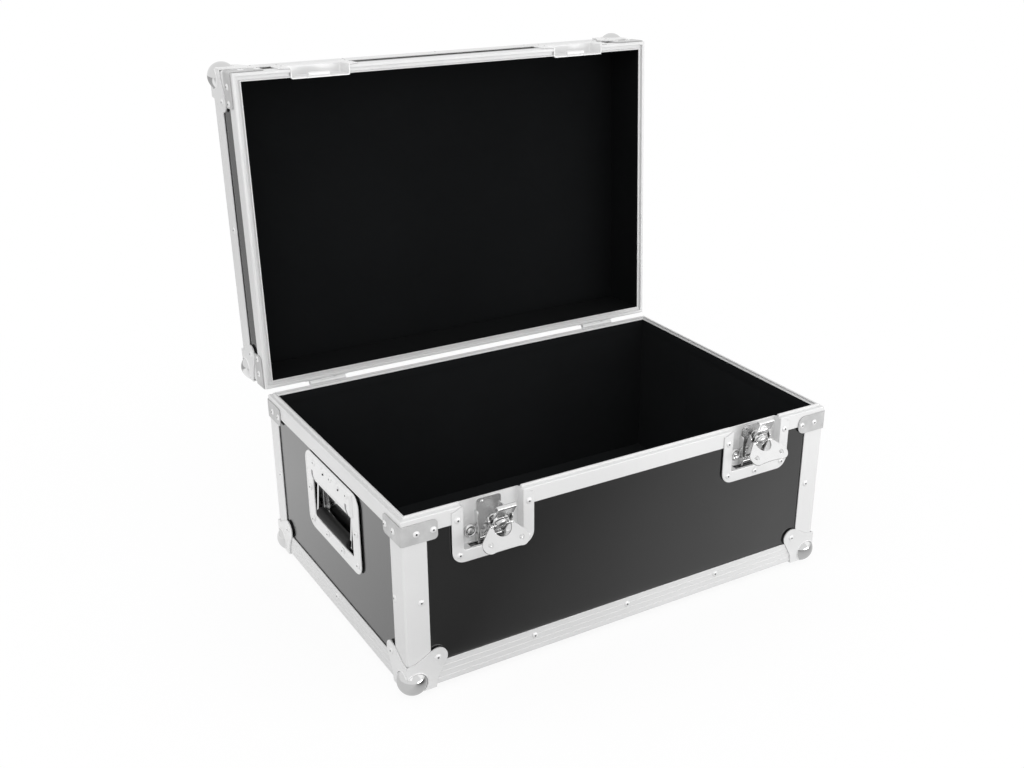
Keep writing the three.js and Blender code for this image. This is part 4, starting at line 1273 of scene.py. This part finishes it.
def open_tray(x, y, z0, z1, wall):
    outer_low = [(-x, -y, z0), (x, -y, z0), (x, y, z0), (-x, y, z0)]
    outer_high = [(a, b, z1) for a, b, _ in outer_low]
    inner_high = [(a * (1 - wall / x), b * (1 - wall / y), z1) for a, b, _ in outer_low]
    inner_low = [(a, b, z0 + wall) for a, b, _ in inner_high]
    return loft([outer_low, outer_high, inner_high, inner_low], True, True, True)


def rim_facing(z0, z1):
    """Felt over the rim's inner leg, all the way round."""
    x, y = (half - RIM_DEPTH - FACING_GAP for half in (HALF_W, HALF_D))
    outer = block((-x, x), (-y, y), (z0, z1))
    inner = block((FACING - x, x - FACING), (FACING - y, y - FACING), (z0 - FACING_DROP, z1 + FACING_DROP))
    return combined(outer, [inner], "DIFFERENCE")


def latch_covers():
    """Felt behind the latch pockets and the openings that it leaves: for the base, then for the lid."""
    half = LATCH_OPENING + DISH_WALL + COVER_WALL
    back = LATCH_BACK + DISH_WALL
    deep = (back + COVER_PLAY, back + COVER_WALL)
    shelf = (-HALF_D + FELT_INSET, back + COVER_WALL)
    opening = (-HALF_D, back + COVER_PLAY)
    foot, lip = LATCH_FLOOR - COVER_FOOT, LATCH_FLOOR - COVER_LIP
    roof, lid_top = LID_COVER
    covers, holes, lid_covers, lid_holes = [], [], [], []
    for x, _, _ in LATCHES.values():
        across = (x - half, x + half)
        covers += [block(across, deep, (foot, BASE_HEIGHT - COVER_TOP)), block(across, shelf, (foot, lip))]
        holes.append(block(across, opening, (lip, BASE_HEIGHT)))
        lid_covers += [block(across, deep, (COVER_TOP, lid_top)), block(across, shelf, (roof, lid_top))]
        lid_holes.append(block(across, opening, (0, roof)))
    return covers, holes, lid_covers, lid_holes


def pocket_padding(across, tall, wall, face):
    """Felt padding that slopes from the wall up to the back of a handle's pocket."""
    (y0, y1), (z0, z1) = across, tall
    loops = []
    for grow, x in ((PADDING_RUN, wall), (0, face)):
        outline = box_outline(y0 - grow, y1 + grow, z0 - grow, z1 + grow)
        loops.append([(x, y, z) for y, z in outline])
    return loft(loops, True, True, True)


def add_handle_padding():
    """Sets padding behind both handle pockets and gives the openings that they need in the felt."""
    deep = HALF_W - POCKET_DEPTH - DISH_WALL
    half = POCKET_HALF + DISH_WALL
    y0, y1 = -HANDLE_FORWARD - half, -HANDLE_FORWARD + half
    z0, z1 = POCKET_FOOT - DISH_WALL, POCKET_TOP + DISH_WALL
    over, play = PADDING_OVER, COVER_PLAY
    room = (y0 - play, y1 + play), (z0 - play, z1 + play)
    wall = HALF_W - FELT_INSET - play
    padding = pocket_padding((y0 - over, y1 + over), (z0 - over, z1 + over), wall, deep - over)
    padding = combined(padding, [block((deep - play, HALF_W), *room)], "DIFFERENCE")
    holes = []
    for word, sign in (("left", -1), ("right", 1)):
        mirror = Matrix.Diagonal((sign, 1, 1, 1))
        piece(f"handle_padding_{word}", padding, BASE @ mirror, "base", BASE_FELT, "laminate")
        holes.append(block(sorted((sign * HALF_W, sign * deep)), *room))
    return holes


def add_lining():
    """Felt on the boards, open at the latch and handle pockets, with a cover behind each."""
    covers, holes, lid_covers, lid_holes = latch_covers()
    holes += add_handle_padding()
    x, y = HALF_W - FELT_INSET, HALF_D - FELT_INSET
    rim = RIM_INNER_WEB + FELT_TOP
    flip = Matrix.Diagonal((1, 1, -1, 1))
    tray = open_tray(x, y, FELT_INSET, BASE_HEIGHT - rim, FELT)
    lid_tray = placed(open_tray(x, y, FELT_INSET - LID_HEIGHT, -rim, FELT), flip)
    facing = rim_facing(BASE_HEIGHT - rim, BASE_HEIGHT - FACING_DROP)
    lid_facing = rim_facing(FACING_DROP, rim)
    for word, home, felt, openings, lining, backs, rim_felt in (
        ("base", BASE, BASE_FELT, holes, tray, covers, facing),
        ("lid", LID, SHADED_LID_FELT, lid_holes, lid_tray, lid_covers, lid_facing),
    ):
        piece(f"{word}_lining", combined(lining, openings, "DIFFERENCE"), home, word, felt, "laminate")
        piece(f"{word}_pocket_covers", merged(*backs), home, word, felt, "laminate")
        piece(f"{word}_rim_facing", combined(rim_felt, openings, "DIFFERENCE"), home, word, felt, "laminate")


# Rivets by Geometry Nodes: their own sizes in metres, their places in the drawing's millimetres
RIVET_SIZES = {"Head radius": 0.0041, "Head height": 0.0015, "Bore radius": 0.0011}
BORE_DEPTH_RATIO = 2.04
BRACE_RIVETS = (17, 37.5)
BRACE_RIVET_DROP = 18
POST_RIVETS = (20.5, 24)
POST_RIVET_HEIGHT = 114
EDGE_RIVETS = (-134, -1.5, 136)
EDGE_RIVET_IN = 21
LATCH_RIVETS = ((-45, 204.5), (45, 204.5), (-43, 160), (43, 160), (0, 157))
KEEPER_RIVETS = ((-45, 15.5), (45, 15.5), (-45, 31), (45, 31))
COWL_RIVETS = ((44, 191), (-7, 191), (-55, 191))
TRAY_RIVETS = ((66, 103), (20, 103), (-26, 103), (-71, 105), (-71, 147), (68, 147))
HINGE_RIVETS = ((-22, 12), (22, 12), (0, 25))
FRONT, BACK = (0, -1, 0), (0, 1, 0)
UP, DOWN = (0, 0, 1), (0, 0, -1)


def rivet_tree():
    """Sets a domed rivet on every point, turned to face along the point's facing; its bore is a dark disc
    just proud of the dome, painted shade for the hole.
    """
    tree = bpy.data.node_groups.new("rivets", "GeometryNodeTree")
    face = tree.interface
    face.new_socket("Geometry", in_out="INPUT", socket_type="NodeSocketGeometry")
    for label, value in RIVET_SIZES.items():
        face.new_socket(label, in_out="INPUT", socket_type="NodeSocketFloat").default_value = value
    for label in ("Head finish", "Bore shade finish"):
        face.new_socket(label, in_out="INPUT", socket_type="NodeSocketMaterial")
    face.new_socket("Geometry", in_out="OUTPUT", socket_type="NodeSocketGeometry")
    start, end = tree.nodes.new("NodeGroupInput"), tree.nodes.new("NodeGroupOutput")

    def add(kind, prefix="GeometryNode", **values):
        node = tree.nodes.new(prefix + kind)
        for key, value in values.items():
            if hasattr(node, key):
                setattr(node, key, value)
            else:
                node.inputs[key].default_value = value
        return node

    head = add("MeshUVSphere", Segments=20, Rings=10, Radius=1.0)
    size = add("CombineXYZ", "ShaderNode")
    dome = add("Transform")
    tall = add("Math", "ShaderNode", operation="MULTIPLY")
    tall.inputs[1].default_value = BORE_DEPTH_RATIO
    # The bore: a dark cylinder whose top stands just above the dome, painted shade for the rivet's hole
    bore = add("MeshCylinder", Vertices=14)
    mark = add("StoreNamedAttribute", data_type="BOOLEAN", domain="FACE", Name="bore", Value=True)
    both = add("JoinGeometry")
    facing = add("InputNamedAttribute", data_type="FLOAT_VECTOR", Name="facing")
    turn = add("AlignRotationToVector", "FunctionNode", axis="Z")
    spots = add("MeshToPoints")
    setting = add("InstanceOnPoints")
    real = add("RealizeInstances")
    smooth = add("SetShadeSmooth")
    first, second = add("SetMaterial"), add("SetMaterial")
    chosen = add("InputNamedAttribute", data_type="BOOLEAN", Name="bore")
    link(
        tree, (start, "Head radius", size, "X"), (start, "Head radius", size, "Y"),
        (start, "Head height", size, "Z"), (head, "Mesh", dome, "Geometry"), (size, 0, dome, "Scale"),
        (start, "Bore radius", bore, "Radius"), (start, "Head height", tall, 0), (tall, 0, bore, "Depth"),
        (bore, "Mesh", mark, "Geometry"), (dome, "Geometry", both, "Geometry"),
        (mark, "Geometry", both, "Geometry"), (facing, "Attribute", turn, "Vector"),
        (start, "Geometry", spots, "Mesh"),
        (spots, "Points", setting, "Points"), (both, "Geometry", setting, "Instance"),
        (turn, "Rotation", setting, "Rotation"), (setting, "Instances", real, "Geometry"),
        (real, "Geometry", smooth, "Geometry"), (smooth, "Geometry", first, "Geometry"),
        (start, "Head finish", first, "Material"), (first, "Geometry", second, "Geometry"),
        (chosen, "Attribute", second, "Selection"), (start, "Bore shade finish", second, "Material"),
        (second, "Geometry", end, "Geometry"),
    )
    return tree


def add_rivets(name, body, home, spots, tree):
    """spots: (point, facing) in the drawing's millimetres."""
    mesh = mesh_from(([p for p, _ in spots], []), name)
    mesh.transform(home)
    facing = mesh.attributes.new("facing", "FLOAT_VECTOR", "POINT")
    turned = home.to_3x3().normalized()
    for slot, (_, direction) in zip(facing.data, spots):
        slot.vector = turned @ Vector(direction)
    obj = new_object(name, mesh)
    modifier = obj.modifiers.new("rivets", "NODES")
    modifier.node_group = tree
    sockets = {item.name: item.identifier for item in tree.interface.items_tree if item.in_out == "INPUT"}
    for label, value in {**RIVET_SIZES, "Head finish": ZINC, "Bore shade finish": BORE_SHADE}.items():
        modifier[sockets[label]] = value
    obj.update_tag()
    bpy.context.view_layer.update()
    plain = evaluated(obj)
    obj.modifiers.clear()
    obj.data = plain
    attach(obj, body)


def corner_rivets(base, lid):
    for sx, sy in CORNERS.values():
        side, face = (sx, 0, 0), (0, sy, 0)
        proud = SEAT + BRACE_THICK
        for run in BRACE_RIVETS:
            for store, z in ((base, BASE_HEIGHT - BRACE_RIVET_DROP), (lid, BRACE_RIVET_DROP)):
                store.append(((sx * (HALF_W - run), sy * (HALF_D + proud), z), face))
                store.append(((sx * (HALF_W + proud), sy * (HALF_D - run), z), side))
        inset = LOBE_CENTRE
        for store, z, flat, out in (
            (base, inset, SKIN, DOWN), (lid, LID_HEIGHT - inset, LID_HEIGHT - SKIN, UP),
        ):
            store.append(((sx * (HALF_W - inset), sy * (HALF_D - SKIN), z), face))
            store.append(((sx * (HALF_W - SKIN), sy * (HALF_D - inset), z), side))
            store.append(((sx * (HALF_W - inset), sy * (HALF_D - inset), flat), out))
        base.append(((sx * (HALF_W - POST_RIVETS[0]), sy * HALF_D, POST_RIVET_HEIGHT), face))
        base.append(((sx * HALF_W, sy * (HALF_D - POST_RIVETS[1]), POST_RIVET_HEIGHT), side))


def case_rivets():
    base, lid = [], []
    corner_rivets(base, lid)
    for sy in (-1, 1):
        for x in EDGE_RIVETS:
            for store, z in ((base, EDGE_RIVET_IN), (lid, LID_HEIGHT - EDGE_RIVET_IN)):
                store.append(((x, sy * HALF_D, z), (0, sy, 0)))
    for sx in (-1, 1):
        for store, z in ((base, EDGE_RIVET_IN), (lid, LID_HEIGHT - EDGE_RIVET_IN)):
            store.append(((sx * HALF_W, 0, z), (sx, 0, 0)))
    front = -HALF_D - SEAT - DISH_WALL
    for x, _, _ in LATCHES.values():
        for store, places in ((base, LATCH_RIVETS), (lid, KEEPER_RIVETS)):
            store += [((x + dx, front, z), FRONT) for dx, z in places]
    for sign in (-1, 1):
        skin = HALF_W + SEAT + DISH_WALL
        for out, places in ((skin + COWL_OUT, COWL_RIVETS), (skin, TRAY_RIVETS)):
            base += [((sign * out, y - HANDLE_FORWARD, z), (sign, 0, 0)) for y, z in places]
    for x in HINGE_PLACES.values():
        for dx, dz in HINGE_RIVETS:
            base.append(((x + dx, PIN_Y + LEAF_FRONT, BASE_HEIGHT - HINGE_GAP - dz), BACK))
            lid.append(((x + dx, PIN_Y + LEAF_FRONT, HINGE_GAP - SEAT + dz), BACK))
    return base, lid


add_edge_angles()
add_corner_posts()
add_rims()
add_corner_braces()
add_ball_corners()
add_latch_dishes()
add_keepers()
add_latch_works()
add_handles()
add_hinges()
add_lining()
rivet = rivet_tree()
base_spots, lid_spots = case_rivets()
add_rivets("base_rivets", "base", BASE, base_spots, rivet)
add_rivets("lid_rivets", "lid", LID, lid_spots, rivet)


# Camera, from the photograph's own lines
CAMERA = {
    "azimuth": -32.334, "elevation": 24.15, "roll": 0.694, "distance": 1.6496, "focal_px": 1254.7,
    "target": (28.97, 0, 193.17), "centre_px": (563.6, 414.5),
}
PHOTO_SIZE = (1024, 768)
SENSOR = 36.0


def add_camera():
    az, el, roll = (math.radians(CAMERA[k]) for k in ("azimuth", "elevation", "roll"))
    back = Vector((math.sin(az) * math.cos(el), -math.cos(az) * math.cos(el), math.sin(el)))
    right = Vector((math.cos(az), math.sin(az), 0))
    up = back.cross(right)
    tilted_right = right * math.cos(roll) + up * math.sin(roll)
    tilted_up = up * math.cos(roll) - right * math.sin(roll)
    place = Matrix((tilted_right, tilted_up, back)).transposed().to_4x4()
    place.translation = BASE @ Vector(CAMERA["target"]) + back * CAMERA["distance"]
    lens = bpy.data.cameras.new("photo_camera")
    lens.sensor_width = SENSOR
    lens.sensor_fit = "HORIZONTAL"
    width, height = PHOTO_SIZE
    lens.lens = CAMERA["focal_px"] / width * SENSOR
    lens.shift_x = (width / 2 - CAMERA["centre_px"][0]) / width
    lens.shift_y = (CAMERA["centre_px"][1] - height / 2) / width
    camera = new_object("photo_camera", lens)
    camera.matrix_world = place
    bpy.context.scene.camera = camera


# Floor and background, in metres
FLOOR_HALF = 6.0
FLOOR_PAINT = (0.95, 0.95, 0.95, 1)
FLOOR_SHARE = (0.9, 1.0)
FLOOR_FADE = (0.5, 1.3)

# Painted reflections on the floor, seen only by glossy and transmission rays, for metal and laminate to
# mirror: dark flags before the case, a bright sheet to its left
FLAG_SLANT = 1.15
FLAG_PLACE = (0.62, 0.06, 0.55)
PAINTED_FLAG_LIGHT = (0.03, 0.50)
FLAG_FRONT = (-0.80, -0.60)
SHEET_EDGE = (-0.22, -0.32)
SHEET_RUN = (-0.12, 0.36)
PAINTED_SHEET_LIGHT = (0.76, 1.16)
SHEET_END = (0.60, 0.80)
PAINTED_SHEET_END_LIGHT = 0.5
BACK_EDGE = (-0.30, -0.18)
PAINTED_BACK_LIGHT = 0.85


def math_node(tree, operation, *terms):
    """One step of arithmetic on sockets and plain numbers."""
    node = new_node(tree, "Math", operation=operation)
    for socket, term in zip(node.inputs, terms):
        if isinstance(term, (int, float)):
            socket.default_value = term
        else:
            tree.links.new(term, socket)
    return node.outputs[0]


# The painted reflection as a glow strength: dark flags in a band before the case, a bright sheet to its left,
# an even level elsewhere
def floor_painted_reflection(tree, x, y):
    lean = math_node(tree, "MULTIPLY_ADD", y, FLAG_SLANT, FLAG_PLACE[0])
    flags = spread(tree, math_node(tree, "ADD", x, lean), *PAINTED_FLAG_LIGHT, *FLAG_PLACE[1:])
    floor = spread(tree, y, PAINTED_BACK_LIGHT, spread(tree, y, flags, PAINTED_BACK_LIGHT, *BACK_EDGE), *FLAG_FRONT)
    sheet = spread(tree, y, spread(tree, y, *PAINTED_SHEET_LIGHT, *SHEET_RUN), PAINTED_SHEET_END_LIGHT, *SHEET_END)
    return spread(tree, math_node(tree, "MULTIPLY", x, -1.0), floor, sheet, -SHEET_EDGE[0], -SHEET_EDGE[1])


def add_floor():
    """A painted floor that is white to the camera and, to what mirrors it, glows with a painted reflection.
    """
    outline = box_outline(-FLOOR_HALF, FLOOR_HALF, -FLOOR_HALF, FLOOR_HALF)
    mesh = mesh_from(([(x, y, 0) for x, y in outline], [(0, 1, 2, 3)]), "floor")
    material = bpy.data.materials.new("pale_floor")
    material.use_nodes = True
    tree = material.node_tree
    tree.nodes.clear()
    path = new_node(tree, "LightPath").outputs
    seen = math_node(tree, "MAXIMUM", path["Is Camera Ray"], path["Is Glossy Ray"])
    every = math_node(tree, "MAXIMUM", seen, path["Is Transmission Ray"])
    place = new_node(tree, "TexCoord")
    split = new_node(tree, "SeparateXYZ")
    away = new_node(tree, "VectorMath", operation="LENGTH")
    link(tree, (place, "Object", split, 0), (place, "Object", away, 0))
    share = math_node(tree, "MULTIPLY", every, spread(tree, away.outputs["Value"], *FLOOR_SHARE, *FLOOR_FADE))
    paint = new_node(tree, "BsdfDiffuse", Color=FLOOR_PAINT)
    glow = new_node(tree, "Emission")
    painted_reflection = floor_painted_reflection(tree, split.outputs["X"], split.outputs["Y"])
    # Painted reflection: the camera sees a glow of 1.0, glossy and transmission rays see the flags and sheet
    # pattern
    tree.links.new(spread(tree, path["Is Camera Ray"], painted_reflection, 1.0, 0.0, 1.0), glow.inputs["Strength"])
    mix = new_node(tree, "MixShader")
    end = new_node(tree, "OutputMaterial")
    tree.links.new(share, mix.inputs[0])
    link(tree, (paint, 0, mix, 1), (glow, 0, mix, 2), (mix, 0, end, "Surface"))
    mesh.materials.append(material)
    new_object("floor", mesh)


def add_world():
    world = bpy.data.worlds.new("studio")
    bpy.context.scene.world = world
    world.use_nodes = True
    tree = world.node_tree
    tree.nodes.clear()
    sky = new_node(tree, "Background", Color=WHITE, Strength=1.0)
    link(tree, (sky, 0, new_node(tree, "OutputWorld"), "Surface"))


# Lamps: name, place, aim, size in metres and watts
LAMPS = (
    ("key_softbox", (-1.6, -1.2, 2.2), (0, 0, 0.2), (2.4, 2.4), 8),
    ("right_softbox", (2.0, -1.4, 1.4), (0, 0, 0.2), (1.8, 1.8), 3),
    ("low_softbox", (1.0, -2.2, 0.16), (-0.05, -0.2, 0.10), (1.6, 0.28), 11),
)


def add_lamps():
    for name, place, aim, size, watts in LAMPS:
        lamp = bpy.data.lights.new(name, "AREA")
        lamp.shape = "RECTANGLE"
        lamp.size, lamp.size_y = size
        lamp.energy = watts
        obj = new_object(name, lamp)
        obj.location = place
        obj.rotation_euler = (Vector(aim) - Vector(place)).to_track_quat("-Z", "Y").to_euler()


add_camera()
add_floor()
add_world()
add_lamps()

scene = bpy.context.scene
scene.view_settings.view_transform = "Standard"
